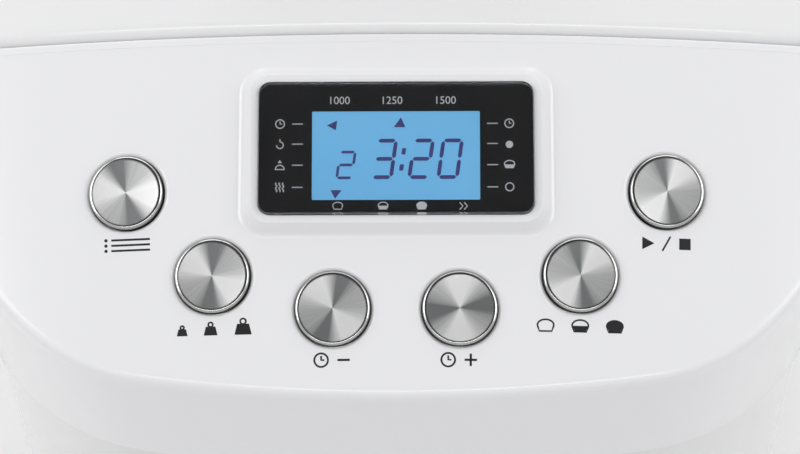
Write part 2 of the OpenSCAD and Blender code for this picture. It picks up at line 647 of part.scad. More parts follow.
// Pulleys: toothless rims between thin flanges, on a hub that is keyed to the shaft
module rim_wheel(r, z) {
    rod(2 * r, z, z + pulley_h);
    for (dz = [-0.4, pulley_h - 0.6]) rod(2 * r + 2 * belt_t + 1, z + dz, z + dz + 1);
}
module front_pulley() color("dimgray") translate([0, shaft_y[0], 0]) difference() {
    union() {
        rim_wheel(big_pulley_r, pulley_z);
        rim_wheel(link_pulley_r, link_z);
    }
    rod(shaft_d, pulley_z - 5, link_z + 20);
    for (a = [0:60:300]) rotate(a) translate([(big_pulley_r + 12) / 2 + 3, 0, 0]) rod(12, pulley_z - 2, link_z - 0.5);
}
module rear_pulley() color("dimgray") translate([0, shaft_y[1], 0]) difference() {
    rim_wheel(link_pulley_r, link_z);
    rod(shaft_d, pulley_z - 5, link_z + 20);
}

// Cast frame under the chamber floor that holds the two shaft bearings
module drive_frame() color("silver") difference() {
    union() {
        translate([0, chamber_y, 0]) plate(76, paddle_pitch + 60, 12, frame_z, frame_z + frame_t);
        for (x = [-30, 30], y = [-1, 1]) translate([x, chamber_y + y * (paddle_pitch / 2 + 20), 0])
            rod(10, frame_z, floor_z);
        for (y = shaft_y) translate([0, y, 0]) rod(24, frame_z - 1, frame_z + 9);
    }
    for (y = shaft_y) translate([0, y, 0]) rod(14, frame_z - 3, frame_z + 12);
}
module drive_bearings() color("darkgoldenrod") for (y = shaft_y) translate([0, y, 0])
    tube(14, shaft_d + 2 * running_gap, frame_z - 1, frame_z + 9);

module belt(y0, r0, y1, r1, z) translate([0, 0, z + 0.9]) linear_extrude(belt_h) difference() {
    polygon(belt_line(y0, r0, y1, r1, belt_t));
    polygon(belt_line(y0, r0, y1, r1, belt_gap));
}
module drive_belt() color([0.1, 0.1, 0.1]) belt(motor_y, motor_pulley_r, shaft_y[0], big_pulley_r, pulley_z);
module link_belt() color([0.1, 0.1, 0.1]) belt(shaft_y[0], link_pulley_r, shaft_y[1], link_pulley_r, link_z);

// Motor: flanged case round a bore, with a bush at each end
module motor_body() color("gray") translate([0, motor_y, 0]) difference() {
    union() {
        rod(motor_d, motor_z + 4, motor_z + motor_h);
        plate(motor_d + 12, motor_d + 12, 10, motor_z, motor_z + 4);
    }
    rod(2 * rotor_r + 2, motor_z + 6, motor_z + motor_h - 3);
    rod(shaft_d + 2 * running_gap, motor_z - 1, motor_z + motor_h + 1);
    for (a = [0:45:315]) rotate(a) translate([motor_d / 2 - 9, 0, 0]) rod(7, motor_z + motor_h - 20, motor_z + motor_h + 1);
}
module motor_rotor() color("silver") translate([0, motor_y, 0]) {
    rod(shaft_d, pulley_z - 3, motor_z + motor_h + 14);
    rod(2 * rotor_r, motor_z + 10, motor_z + motor_h - 7);
    rim_wheel(motor_pulley_r, pulley_z);
    rod(16, motor_z + motor_h + 2, motor_z + motor_h + 12);
    for (a = [0:45:315]) rotate(a) slab([6, 28], [-1, 1], [motor_z + motor_h + 3, motor_z + motor_h + 11]);
}
module motor_mounts() color([0.15, 0.15, 0.15]) translate([0, motor_y, 0])
    for (x = [-1, 1], y = [-1, 1]) translate([x * (motor_d / 2 - 2), y * (motor_d / 2 - 2), 0]) {
        rod(10, base_top, motor_z - 3);
        rod(15, motor_z - 3.01, motor_z);
    }

module capacitor() color("whitesmoke") translate([-half_w + 47, motor_y + 4, 0]) {
    rod(32, base_top, base_top + 60);
    for (x = [-6, 6]) translate([x, 0, 0]) slab([-0.4, 0.4], [-3, 3], [base_top + 59, base_top + 68]);
}
module power_board() color("darkgreen") difference() {
    slab([power_at[0] - 28, power_at[0] + 28], [power_at[1] - 33, power_at[1] + 33], [base_top + 19, base_top + 20.6]);
    power_posts() rod(3.2, base_top, base_top + 30);
}
module power_components() color("black") translate([power_at[0], power_at[1], base_top + 20.6]) {
    slab([-18, 18], [-2, 26], [0, 28]);
    slab([-24, -8], [-22, -6], [0, 16]);
    slab([2, 24], [-18, -15], [0, 24]);
    for (x = [6, 18]) translate([x, -8, 0]) cylinder(d = 8, h = 14);
}
module thermal_fuse() color("beige") translate([-40, chamber_y - chamber_l / 2 - sheet, floor_z + 60]) {
    slab([-12, 12], [-3, 0], [0, 12]);
    translate([-18, -5, 6]) along_x(0, 36, 4);
}

// Flat cable from the control board down to the power board
module ribbon_cable() color("lightgray") {
    head = [seam_y - 22, deck_z - 27];
    foot = [power_at[1] + 29, base_top + 20.6];
    x = min(power_at[0] - 30, board_post[0] - 22);
    translate([x, 0, 0]) rotate([90, 0, 90]) linear_extrude(16) polygon([head, head + [0, -20], foot + [0, 60],
        foot, foot + [1.2, 0], foot + [1.2, 60.5], head + [1.2, -19.5], head + [1.2, 0]]);
}
module cable_gland() color([0.15, 0.15, 0.15]) translate([-80, 0, base_top + 31]) difference() {
    union() {
        along_y(rear_y - set_back - 8, rear_y - 0.2, 14);
        along_y(rear_y - set_back, rear_y - 0.2, 20);
        along_y(rear_y - set_back - wall - 4, rear_y - set_back - wall, 20);
    }
    along_y(rear_y - 20, rear_y + 5, 8);
}

lower_housing();
upper_housing();
base_plate();
rubber_feet();
housing_screws();
display_window();
lcd_module();
lcd_backlight();
control_board();
board_components();
tact_switches();
control_board_screws();
menu_button();
weight_button();
time_minus_button();
time_plus_button();
browning_button();
start_stop_button();
lid_shell();
lid_liner();
lid_window();
window_gasket();
lid_handle();
lid_screws();
hinge_pins();
baking_chamber();
chamber_legs();
heating_element();
heater_insulators();
temperature_sensor();
heat_shield();
pan_socket();
pan_clips();
bread_pan();
pan_base_ring();
pan_shaft_seals();
handle_pivots();
pan_handle();
front_pan_shaft();
rear_pan_shaft();
front_paddle();
rear_paddle();
front_drive_shaft();
rear_drive_shaft();
front_pulley();
rear_pulley();
drive_frame();
drive_bearings();
drive_belt();
link_belt();
motor_body();
motor_rotor();
motor_mounts();
capacitor();
power_board();
power_components();
thermal_fuse();
ribbon_cable();
cable_gland();
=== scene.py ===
"""Bread machine: the visual model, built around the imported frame. Lengths are in metres."""
import json
import math

import bmesh
import bpy
from mathutils import Matrix, Vector
from mathutils.geometry import delaunay_2d_cdt


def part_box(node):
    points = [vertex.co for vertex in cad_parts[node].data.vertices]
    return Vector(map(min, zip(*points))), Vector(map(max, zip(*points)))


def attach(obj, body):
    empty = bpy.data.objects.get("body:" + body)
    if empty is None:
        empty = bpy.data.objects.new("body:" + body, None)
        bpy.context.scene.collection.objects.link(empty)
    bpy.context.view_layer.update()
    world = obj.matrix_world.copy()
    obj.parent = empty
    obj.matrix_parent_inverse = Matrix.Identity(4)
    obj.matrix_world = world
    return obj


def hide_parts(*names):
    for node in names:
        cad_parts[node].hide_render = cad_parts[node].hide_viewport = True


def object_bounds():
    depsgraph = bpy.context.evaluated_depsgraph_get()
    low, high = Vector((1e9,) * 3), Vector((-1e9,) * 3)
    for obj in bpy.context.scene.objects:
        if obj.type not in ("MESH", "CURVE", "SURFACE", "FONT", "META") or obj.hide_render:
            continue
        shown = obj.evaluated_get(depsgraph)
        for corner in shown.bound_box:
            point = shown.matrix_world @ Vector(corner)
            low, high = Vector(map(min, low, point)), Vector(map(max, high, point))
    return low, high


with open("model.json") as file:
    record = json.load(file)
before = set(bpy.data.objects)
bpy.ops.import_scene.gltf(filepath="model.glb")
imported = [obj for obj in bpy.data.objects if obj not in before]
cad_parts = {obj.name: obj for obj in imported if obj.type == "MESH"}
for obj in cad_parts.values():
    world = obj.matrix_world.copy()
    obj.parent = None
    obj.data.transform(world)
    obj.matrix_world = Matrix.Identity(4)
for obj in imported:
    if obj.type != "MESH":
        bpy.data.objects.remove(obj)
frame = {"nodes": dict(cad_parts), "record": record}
cad_box = [list(corner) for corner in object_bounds()]
MM = 0.001

# ---------------------------------------------------------------- sizes taken from the frame
hood_low, hood_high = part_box("upper_housing")
housing_low, housing_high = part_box("lower_housing")
HALF_W = hood_high[0]
FRONT_Y = hood_low[1]
REAR_Y = hood_high[1]
SKIRT_Z = hood_low[2]
TOP_Z = cad_box[1][2]
SET_BACK = HALF_W - housing_high[0]

# ---------------------------------------------------------------- sizes of the shells
WALL = 3 * MM
FRONT_R = 500 * MM
CORNER_R = 70 * MM
REAR_R = 34 * MM
SLOPE = math.radians(22)
PANEL_D = 102 * MM
CROWN_R = 1100 * MM
LID_ARC_R = 348 * MM
LID_BACK_R = 400 * MM
LID_GAP = 1 * MM
SEAM_Y = FRONT_Y + PANEL_D
LID_TOP_Y = SEAM_Y + LID_ARC_R * math.sin(SLOPE)
SEAM_Z = TOP_Z - LID_ARC_R * (1 - math.cos(SLOPE))
DECK_Z = SEAM_Z - 22 * MM
LID_BACK_Y = REAR_Y - 28 * MM
PANEL_LEN = PANEL_D / math.cos(SLOPE)

# ---------------------------------------------------------------- the panel's own pieces
WINDOW_W = 81.6 * MM
WINDOW_H = 39.9 * MM
WINDOW_R = 3.6 * MM
WINDOW_S = PANEL_LEN - 16 * MM - WINDOW_H / 2
FRAME_H = 2.6 * MM
LENS_TOP = FRAME_H + 1.8 * MM
LENS_T = 4 * MM
LENS_SEAT = LENS_TOP - LENS_T
BUTTON_R = 11 * MM
BUTTON_GAP = 0.4 * MM
BUTTON_PROUD = 1.4 * MM
BUTTONS = {
    "menu": (-80.4 * MM, 47.2 * MM), "weight": (-54.3 * MM, 73.2 * MM),
    "time_minus": (-18.7 * MM, 83.6 * MM), "time_plus": (18.7 * MM, 83.6 * MM),
    "browning": (54.3 * MM, 73.2 * MM), "start_stop": (80.4 * MM, 47.2 * MM)}


# ---------------------------------------------------------------- places on the crowned panel
def crown_radius(y):
    """Radius of the crown across the panel at a distance y."""
    return CROWN_R + (y - SEAM_Y) * math.tan(SLOPE)


def panel_z(x, y):
    """Height of the panel's surface over a point in plan."""
    return SEAM_Z - CROWN_R + math.sqrt(crown_radius(y) ** 2 - x * x)


def panel_frame(u, s):
    """Matrix of the local frame on the panel: u across, s up the slope, z out of the surface."""
    y = FRONT_Y + s * math.cos(SLOPE)
    r = crown_radius(y)
    return (Matrix.Translation((0, 0, SEAM_Z - CROWN_R)) @ Matrix.Rotation(math.asin(u / r), 4, "Y")
            @ Matrix.Translation((0, y, r)) @ Matrix.Rotation(SLOPE, 4, "X"))


def placed(place, loop, z):
    """Ring of a local plan loop at a height over a local frame."""
    return [place @ Vector((x, y, z)) for x, y in loop]


def button_frame(name):
    u, down = BUTTONS[name]
    return panel_frame(u, PANEL_LEN - down)


def lid_z(x, y):
    """Height of the lid's outside over a point in plan: the profile along y, crowned across x."""
    r = LID_ARC_R if y < LID_TOP_Y else LID_BACK_R
    height = TOP_Z - r + math.sqrt(r * r - (y - LID_TOP_Y) ** 2)
    return SEAM_Z - CROWN_R + math.sqrt((CROWN_R + height - SEAM_Z) ** 2 - x * x)


# ---------------------------------------------------------------- camera, lights and studio
def make_camera():
    """Close view of the panel from the front and above."""
    elevation, turn, roll = math.radians(57.03), math.radians(1.01), math.radians(-1.01)
    distance, lens = 753.6 * MM, 114.75
    aim = panel_frame(0, 50.73 * MM) @ Vector((0, 0, 0)) + Vector((1.13 * MM, 0, 0))
    back = Vector((math.sin(turn) * math.cos(elevation), -math.cos(turn) * math.cos(elevation),
                   math.sin(elevation)))
    camera = bpy.data.objects.new("camera", bpy.data.cameras.new("camera"))
    camera.data.lens = lens
    camera.data.sensor_width = 36
    camera.data.clip_start = 0.01
    turned = back.to_track_quat("Z", "Y").to_matrix().to_4x4() @ Matrix.Rotation(roll, 4, "Z")
    camera.matrix_world = Matrix.Translation(aim + distance * back) @ turned
    bpy.context.scene.collection.objects.link(camera)
    bpy.context.scene.camera = camera


def add_light(name, place, aim, size, power, tint=(1, 1, 1)):
    lamp = bpy.data.lights.new(name, "AREA")
    lamp.shape = "RECTANGLE"
    lamp.size, lamp.size_y = size
    lamp.energy = power
    lamp.color = tint
    holder = bpy.data.objects.new(name, lamp)
    holder.matrix_world = Matrix.Translation(place) @ (
        Vector(place) - Vector(aim)).to_track_quat("Z", "Y").to_matrix().to_4x4()
    bpy.context.scene.collection.objects.link(holder)


def make_world():
    """Bright studio walls under a dark ceiling, which the window and the metal faces mirror."""
    world = bpy.data.worlds.new("studio")
    world.use_nodes = True
    tree = world.node_tree
    place = add_node(tree, "ShaderNodeTexCoord")
    split = add_node(tree, "ShaderNodeSeparateXYZ", [("Vector", place.outputs["Generated"])])
    ceiling = add_node(tree, "ShaderNodeMapRange", [("Value", split.outputs["Z"])], From_Min=0.78,
                       From_Max=0.93, interpolation_type="SMOOTHSTEP")
    tone = add_node(tree, "ShaderNodeMix", [("Factor", ceiling.outputs["Result"]), (6, (0.95, 0.95, 0.95, 1)),
                                            (7, (0.08, 0.08, 0.08, 1))], data_type="RGBA")
    rise = add_node(tree, "ShaderNodeMapRange", [("Value", split.outputs["Z"])], From_Min=-0.05,
                    From_Max=0.55, To_Min=0.42, To_Max=0.8)
    feed(tree, tree.nodes["Background"], Color=tone.outputs[2], Strength=rise.outputs["Result"])
    bpy.context.scene.world = world


# ---------------------------------------------------------------- small mesh tools
def arc(centre, r, start, end, count):
    """Points in plan along an arc, angles in degrees."""
    turns = [math.radians(start + (end - start) * i / count) for i in range(count + 1)]
    return [(centre[0] + r * math.cos(a), centre[1] + r * math.sin(a)) for a in turns]


def rounded(w, h, r, count=10):
    """Closed rounded rectangle about the origin, counter-clockwise."""
    x, y = w / 2 - r, h / 2 - r
    loop = []
    for centre, start in (((x, y), 0), ((-x, y), 90), ((-x, -y), 180), ((x, -y), 270)):
        loop += arc(centre, r, start, start + 90, count)
    return loop


def circle(r, count=96):
    return arc((0, 0), r, 0, 360, count)[:-1]


def inside(point, loop):
    """Whether a point in plan lies inside a closed loop."""
    x, y = point
    odd = False
    for (x0, y0), (x1, y1) in zip(loop, loop[1:] + loop[:1]):
        if (y0 > y) != (y1 > y) and x < x0 + (y - y0) * (x1 - x0) / (y1 - y0):
            odd = not odd
    return odd


class Skin:
    """Gathers rings of points and the faces between them, and makes one piece of them."""

    def __init__(self):
        self.points, self.faces = [], []

    def ring(self, points):
        first = len(self.points)
        self.points += [tuple(p) for p in points]
        return list(range(first, len(self.points)))

    def loft(self, rings, closed=True):
        """Faces between each ring and the next, which have the same number of points."""
        rings = [self.ring(points) for points in rings]
        for low, high in zip(rings, rings[1:]):
            count = len(low) if closed else len(low) - 1
            for i in range(count):
                j = (i + 1) % len(low)
                self.faces.append((low[i], low[j], high[j], high[i]))
        return rings

    def cap(self, points):
        self.faces.append(tuple(self.ring(points)))

    def solid(self, rings):
        """Loft that is closed at both ends."""
        rings = self.loft(rings)
        self.faces += [tuple(rings[0]), tuple(rings[-1])]

    def sheet(self, outline, holes, height, step, rows=()):
        """Fills a plan region with triangles that follow a height function."""
        loops = [list(outline)] + [list(hole) for hole in holes]
        plan, edges = [], []
        for loop in loops:
            first = len(plan)
            plan += loop
            edges += [(first + i, first + (i + 1) % len(loop)) for i in range(len(loop))]
        xs, ys = [p[0] for p in outline], [p[1] for p in outline]
        columns = max(2, round((max(xs) - min(xs)) / step))
        stations = list(rows)
        lines = max(2, round((max(ys) - min(ys)) / step))
        stations += [min(ys) + (max(ys) - min(ys)) * (j + 0.5) / lines for j in range(lines)]
        border = list(plan)
        for y in stations:
            for i in range(columns):
                p = (min(xs) + (max(xs) - min(xs)) * (i + 0.5) / columns, y)
                if inside(p, loops[0]) and not any(inside(p, hole) for hole in loops[1:]):
                    if all(abs(p[0] - q[0]) + abs(p[1] - q[1]) > 0.35 * step for q in border):
                        plan.append(p)
        scaled = [Vector((x / MM, y / MM)) for x, y in plan]
        flat, _, faces, _, _, _ = delaunay_2d_cdt(scaled, edges, [], 0, 1e-4)
        points = [(p.x * MM, p.y * MM) for p in flat]
        first = len(self.points)
        self.points += [(x, y, height(x, y)) for x, y in points]
        for face in faces:
            middle = tuple(sum(points[i][k] for i in face) / len(face) for k in (0, 1))
            if inside(middle, loops[0]) and not any(inside(middle, hole) for hole in loops[1:]):
                self.faces.append(tuple(first + i for i in face))

    def piece(self, name, finish, sharp=35, thick=0.0):
        """Makes the mesh object: merged, turned outwards, smooth, and given a wall where it is thick."""
        mesh = bpy.data.meshes.new(name)
        mesh.from_pydata(self.points, [], self.faces)
        clean(mesh, 2e-6)
        piece = bpy.data.objects.new(name, mesh)
        bpy.context.scene.collection.objects.link(piece)
        if thick:
            wall = piece.modifiers.new("wall", "SOLIDIFY")
            wall.thickness = thick
            wall.offset = -1
            settle(piece)
        return dress(piece, finish, sharp)


def clean(mesh, distance):
    """Merges doubles, drops empty faces and turns the rest outwards."""
    work = bmesh.new()
    work.from_mesh(mesh)
    bmesh.ops.remove_doubles(work, verts=work.verts, dist=distance)
    bmesh.ops.dissolve_degenerate(work, edges=work.edges, dist=distance)
    bmesh.ops.recalc_face_normals(work, faces=work.faces)
    work.to_mesh(mesh)
    work.free()


def settle(piece):
    """Turns a piece with modifiers into its plain result."""
    evaluated = piece.evaluated_get(bpy.context.evaluated_depsgraph_get())
    mesh = bpy.data.meshes.new_from_object(evaluated)
    piece.modifiers.clear()
    piece.data = mesh


def dress(piece, finish, sharp=35):
    piece.data.materials.clear()
    piece.data.materials.append(finish)
    piece.data.shade_smooth()
    piece.data.set_sharp_from_angle(angle=math.radians(sharp))
    return piece


def put(piece, body, slot, *stands_for):
    """Gives a finished piece its body and hides the nodes it stands for; its slot is not used."""
    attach(piece, body)
    if stands_for:
        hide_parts(*stands_for)


# ---------------------------------------------------------------- plan outline of the body
CORNER_X = HALF_W - CORNER_R
BOW_Y = FRONT_Y + FRONT_R
CORNER_Y = BOW_Y - math.sqrt((FRONT_R - CORNER_R) ** 2 - CORNER_X ** 2)
MEET = math.degrees(math.atan2(CORNER_Y - BOW_Y, CORNER_X))
SEAM_R = 0.7 * MM
FILLET_TURNS = [math.radians(15 * k) for k in range(7)]
SEAM_ROWS = [SEAM_Y - SEAM_R * (1 - math.sin(a)) for a in FILLET_TURNS]


def front_plan(inset):
    """Open outline from the left end of the seam round the bowed front to its right end."""
    side = [CORNER_Y + (SEAM_Y - 2 * SEAM_R - CORNER_Y) * i / 8 for i in range(1, 9)] + SEAM_ROWS
    right = arc((0, BOW_Y), FRONT_R - inset, -90, MEET, 40)
    right += arc((CORNER_X, CORNER_Y), CORNER_R - inset, MEET, 0, 40)[1:]
    right += [(HALF_W - inset, y) for y in side]
    return [(-x, y) for x, y in reversed(right)] + right[1:]


def rear_plan(inset):
    """Open outline from the right end of the seam round the rear to its left end."""
    centre = (HALF_W - REAR_R, REAR_Y - REAR_R)
    side = [SEAM_Y + (centre[1] - SEAM_Y) * i / 30 for i in range(30)]
    right = [(HALF_W - inset, y) for y in side] + arc(centre, REAR_R - inset, 0, 90, 24)
    right += [(centre[0] * (1 - i / 12), REAR_Y - inset) for i in range(1, 13)]
    return right + [(-x, y) for x, y in reversed(right[:-1])]


def whole_plan(inset):
    return front_plan(inset) + rear_plan(inset)[1:-1]


def fillet(r):
    """Steps of a rounded edge from the wall to the top: inset and drop."""
    return [(r * (1 - math.sin(a)), r * (1 - math.cos(a))) for a in reversed(FILLET_TURNS)]


# ---------------------------------------------------------------- upper housing
EDGE_R = 2.2 * MM
SKIRT_R = 0.8 * MM
HOLE_FILLET = 1.5 * MM
HOLE_R = BUTTON_R + BUTTON_GAP
TUCK = 2 * MM
HINGE_X = (-80 * MM, 80 * MM)
HINGE_SOFT = 0.6 * MM
OPENING_W, OPENING_D, OPENING_R = 186 * MM, 236 * MM, 25 * MM


def hood_z(x, y):
    """Height of the panel, rounded over where it meets the seam."""
    past = max(0.0, y - (SEAM_Y - SEAM_R))
    return panel_z(x, y) - (SEAM_R - math.sqrt(max(0.0, SEAM_R ** 2 - past ** 2)))


def on_hood(place, x, y, depth):
    """Point on the panel at local x and y of a frame, sunk along its normal."""
    p = place @ Vector((x, y, 0))
    return Vector((p.x, p.y, hood_z(p.x, p.y))) - depth * (place.to_3x3() @ Vector((0, 0, 1)))


def hole_rings(place):
    """Rings of a button's hole: flat, rounded over, then straight down the bore."""
    steps = [(HOLE_R + HOLE_FILLET + 1.2 * MM, 0)]
    steps += [(HOLE_R + inset, drop) for inset, drop in reversed(fillet(HOLE_FILLET))]
    steps.append((HOLE_R, HOLE_FILLET + 0.4 * MM))
    return [[on_hood(place, x, y, depth) for x, y in circle(r)] for r, depth in steps]


def frame_rings(place):
    """Rings of the raised frame: out on the panel, up its soft slope, across and down to the lens."""
    flat, foot = 2.5 * MM, 6.4 * MM
    steps = [(foot + 1.5 * MM, 0.0), (foot + 0.5 * MM, 0.0)]
    for i in range(15):
        t = i / 14
        steps.append((foot - (foot - flat) * t, t ** 1.35 * (1 - (1 - t) ** 2.6)))
    steps += [(1.2 * MM, 1.0), (0.55 * MM, 1.0), (0.3 * MM, 0.97), (0.15 * MM, 0.88)]
    rings = []
    for out, rise in steps:
        loop = rounded(WINDOW_W + 2 * out, WINDOW_H + 2 * out, WINDOW_R + 0.75 * out, 12)
        ring = []
        for x, y in loop:
            ground, top = on_hood(place, x, y, 0), place @ Vector((x, y, FRAME_H))
            ring.append(ground.lerp(top, rise))
        rings.append(ring)
    loop = rounded(WINDOW_W + 0.3 * MM, WINDOW_H + 0.3 * MM, WINDOW_R, 12)
    return rings + [placed(place, loop, LENS_SEAT)]


def make_upper_housing(finish):
    skin = Skin()
    inner = EDGE_R + 0.8 * MM
    shelf = DECK_Z - EDGE_R - TUCK
    skirt_top = SKIRT_Z + SKIRT_R
    foot = [(SKIRT_R * (1 - math.sin(a)), SKIRT_R * (1 - math.cos(a))) for a in FILLET_TURNS]
    across = [(HALF_W - inner) * (-1 + 2 * i / 60) for i in range(61)]
    reach = (shelf - skirt_top) / (hood_z(HALF_W, SEAM_Y) - EDGE_R - TUCK - skirt_top)

    def wall(plan_of, height, knee):
        """Rings from the foot of the skirt up the wall and over its rounded edge."""
        rings = [[(x, y, SKIRT_Z + rise) for x, y in plan_of(inset)] for inset, rise in foot]
        for share in knee:
            rings.append([(x, y, skirt_top + share * (height(x, y) - EDGE_R - TUCK - skirt_top))
                          for x, y in plan_of(0)])
        rings += [[(x, y, height(x, y) - drop) for x, y in plan_of(inset)] for inset, drop in fillet(EDGE_R)]
        rings.append([(x, y, height(x, y)) for x, y in plan_of(inner)])
        skin.loft(rings, closed=False)
        return rings[len(foot) + len(knee) - 1:]

    front = wall(front_plan, hood_z, (reach, 1))
    rear = wall(rear_plan, lambda x, y: DECK_Z, (1,))
    holes = [frame_rings(panel_frame(0, WINDOW_S))] + [hole_rings(button_frame(name)) for name in BUTTONS]
    for rings in holes:
        skin.loft(rings)
    skin.loft([[(x, y, hood_z(x, y)) for x in across] for y in SEAM_ROWS], closed=False)
    turns = len(SEAM_ROWS) - 1
    outline = front_plan(inner)[turns:-turns] + [(x, SEAM_ROWS[0]) for x in across[-2:0:-1]]
    skin.sheet(outline, [[(p[0], p[1]) for p in rings[0]] for rings in holes], hood_z, 5 * MM)
    chamber_low, chamber_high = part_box("baking_chamber")
    middle = (chamber_low[1] + chamber_high[1]) / 2
    opening = [(x, y + middle) for x, y in rounded(OPENING_W, OPENING_D, OPENING_R)]
    deck = rear_plan(inner) + [(x, SEAM_Y) for x in across[1:-1]]
    skin.sheet(deck, [opening], lambda x, y: DECK_Z, 14 * MM)
    skin.loft([[(x, y, DECK_Z) for x, y in opening], [(x, y, DECK_Z - WALL) for x, y in opening]])
    left = [(high[0], low[-1]) for high, low in zip(front, rear)]
    right = [(high[-1], low[0]) for high, low in zip(front, rear)]
    flat = [((x, SEAM_Y, hood_z(x, SEAM_Y)), (x, SEAM_Y, DECK_Z)) for x in across[1:-1]]
    pairs = left + flat + right[::-1]
    skin.loft([[low for high, low in pairs], [high for high, low in pairs]], closed=False)
    shell = skin.piece("upper_housing_shell", finish, 32, WALL * 0.8)
    join([shell, make_hinge_lugs(finish)])
    put(shell, "root", "white_abs", "upper_housing")


def hinge_axis():
    """Depth and height of the pins' axis."""
    low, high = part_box("hinge_pins")
    return (low[1] + high[1]) / 2, (low[2] + high[2]) / 2


def bar_rings(x0, x1, profile, small, soft):
    """Rings of a bar along x from its profile, drawn in to a smaller one at both ends."""
    return [[(x, y, z) for y, z in loop] for x, loop in
            ((x0, small), (x0 + soft, profile), (x1 - soft, profile), (x1, small))]


def make_hinge_lugs(finish):
    """Four ears on the ledge behind the lid, rounded over the pins."""
    skin = Skin()
    y, z = hinge_axis()
    ear_r, knuckle, ear_t = 5 * MM, 8.5 * MM, 5 * MM
    for x in HINGE_X:
        for side in (-1, 1):
            x0 = x + side * knuckle
            x1 = x0 + side * ear_t
            profile = arc((y, z), ear_r, 0, 180, 20)
            profile += [(y - ear_r, DECK_Z - 1 * MM), (y + ear_r, DECK_Z - 1 * MM)]
            small = [(y + (a - y) * 0.88, z + (b - z) * 0.88 if b > z else b) for a, b in profile]
            skin.solid(bar_rings(x0, x1, profile, small, HINGE_SOFT * side))
    return skin.piece("hinge_ears", finish)


def join(pieces):
    """Joins pieces into the first one."""
    with bpy.context.temp_override(active_object=pieces[0], selected_editable_objects=pieces):
        bpy.ops.object.join()
    return pieces[0]


# ---------------------------------------------------------------- lid and lower housing
LID_R = 3 * MM
LID_PLAN_R = 4.5 * MM
VIEW_W, VIEW_D = 130 * MM, 90 * MM


def lid_plan(inset, count=8):
    """Closed outline of the lid, drawn in: square to the seam, with small corners in plan."""
    y0, y1 = SEAM_Y + LID_GAP, LID_BACK_Y
    w, length, r = 2 * (HALF_W - inset), y1 - y0 - 2 * inset, LID_PLAN_R - inset
    middle = (y0 + y1) / 2
    loop = []
    for sx, sy, start in ((1, 1, 0), (-1, 1, 90), (-1, -1, 180), (1, -1, 270)):
        corner = arc((sx * (w / 2 - r), sy * (length / 2 - r)), r, start, start + 90, count)
        loop += corner
        end_x, end_y = corner[-1]
        if start in (90, 270):
            far = -end_y
            loop += [(end_x, end_y + (far - end_y) * i / 40) for i in range(1, 40)]
        else:
            loop += [(end_x * (1 - 2 * i / 40), end_y) for i in range(1, 40)]
    return [(x, y + middle) for x, y in loop]


def make_lid(finish):
    skin = Skin()
    steps = fillet(LID_R)
    inner = LID_R + 0.8 * MM
    base = DECK_Z + LID_GAP
    rings = [[(x, y, base) for x, y in lid_plan(0.5 * MM)], [(x, y, base + 0.5 * MM) for x, y in lid_plan(0)]]
    rings += [[(x, y, lid_z(x, y) - LID_R - 1.5 * MM) for x, y in lid_plan(0)]]
    rings += [[(x, y, lid_z(x, y) - drop) for x, y in lid_plan(inset)] for inset, drop in steps]
    rings += [[(x, y, lid_z(x, y)) for x, y in lid_plan(inner)]]
    skin.loft(rings)
    glass_low, glass_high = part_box("lid_window")
    middle = (glass_low[1] + glass_high[1]) / 2
    gasket_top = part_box("window_gasket")[1][2]
    edge = 2.5 * MM
    well = [(edge + 1.5 * MM, 0)] + [(inset, drop) for inset, drop in reversed(fillet(edge))]
    walls = []
    for out, drop in well:
        loop = [(x, y + middle) for x, y in rounded(VIEW_W + 2 * out, VIEW_D + 2 * out, 8 * MM + out)]
        walls.append([(x, y, lid_z(x, y) - drop) for x, y in loop])
    loop = [(x, y + middle) for x, y in rounded(VIEW_W, VIEW_D, 8 * MM)]
    walls.append([(x, y, gasket_top) for x, y in loop])
    skin.loft(walls)
    skin.sheet(lid_plan(inner), [[(p[0], p[1]) for p in walls[0]]], lid_z, 8 * MM)
    shell = skin.piece("lid_shell_moulding", finish, 32, WALL * 0.8)
    join([shell, make_knuckles(finish)])
    put(shell, "lid", "lid_abs", "lid_shell")


def make_knuckles(finish):
    """Two hinge arms behind the lid, each a rounded bar round its pin."""
    skin = Skin()
    y, z = hinge_axis()
    r, half, back = 5 * MM, 8 * MM, LID_BACK_Y - 2 * MM
    for x in HINGE_X:
        profile = arc((y, z), r, -100, 90, 20)
        profile += [(back, z + r), (back, z - 4 * MM)]
        small = [(a - 0.4 * MM, z + (b - z) * 0.9) for a, b in profile]
        skin.solid(bar_rings(x - half, x + half, profile, small, HINGE_SOFT))
    return skin.piece("hinge_knuckles", finish)


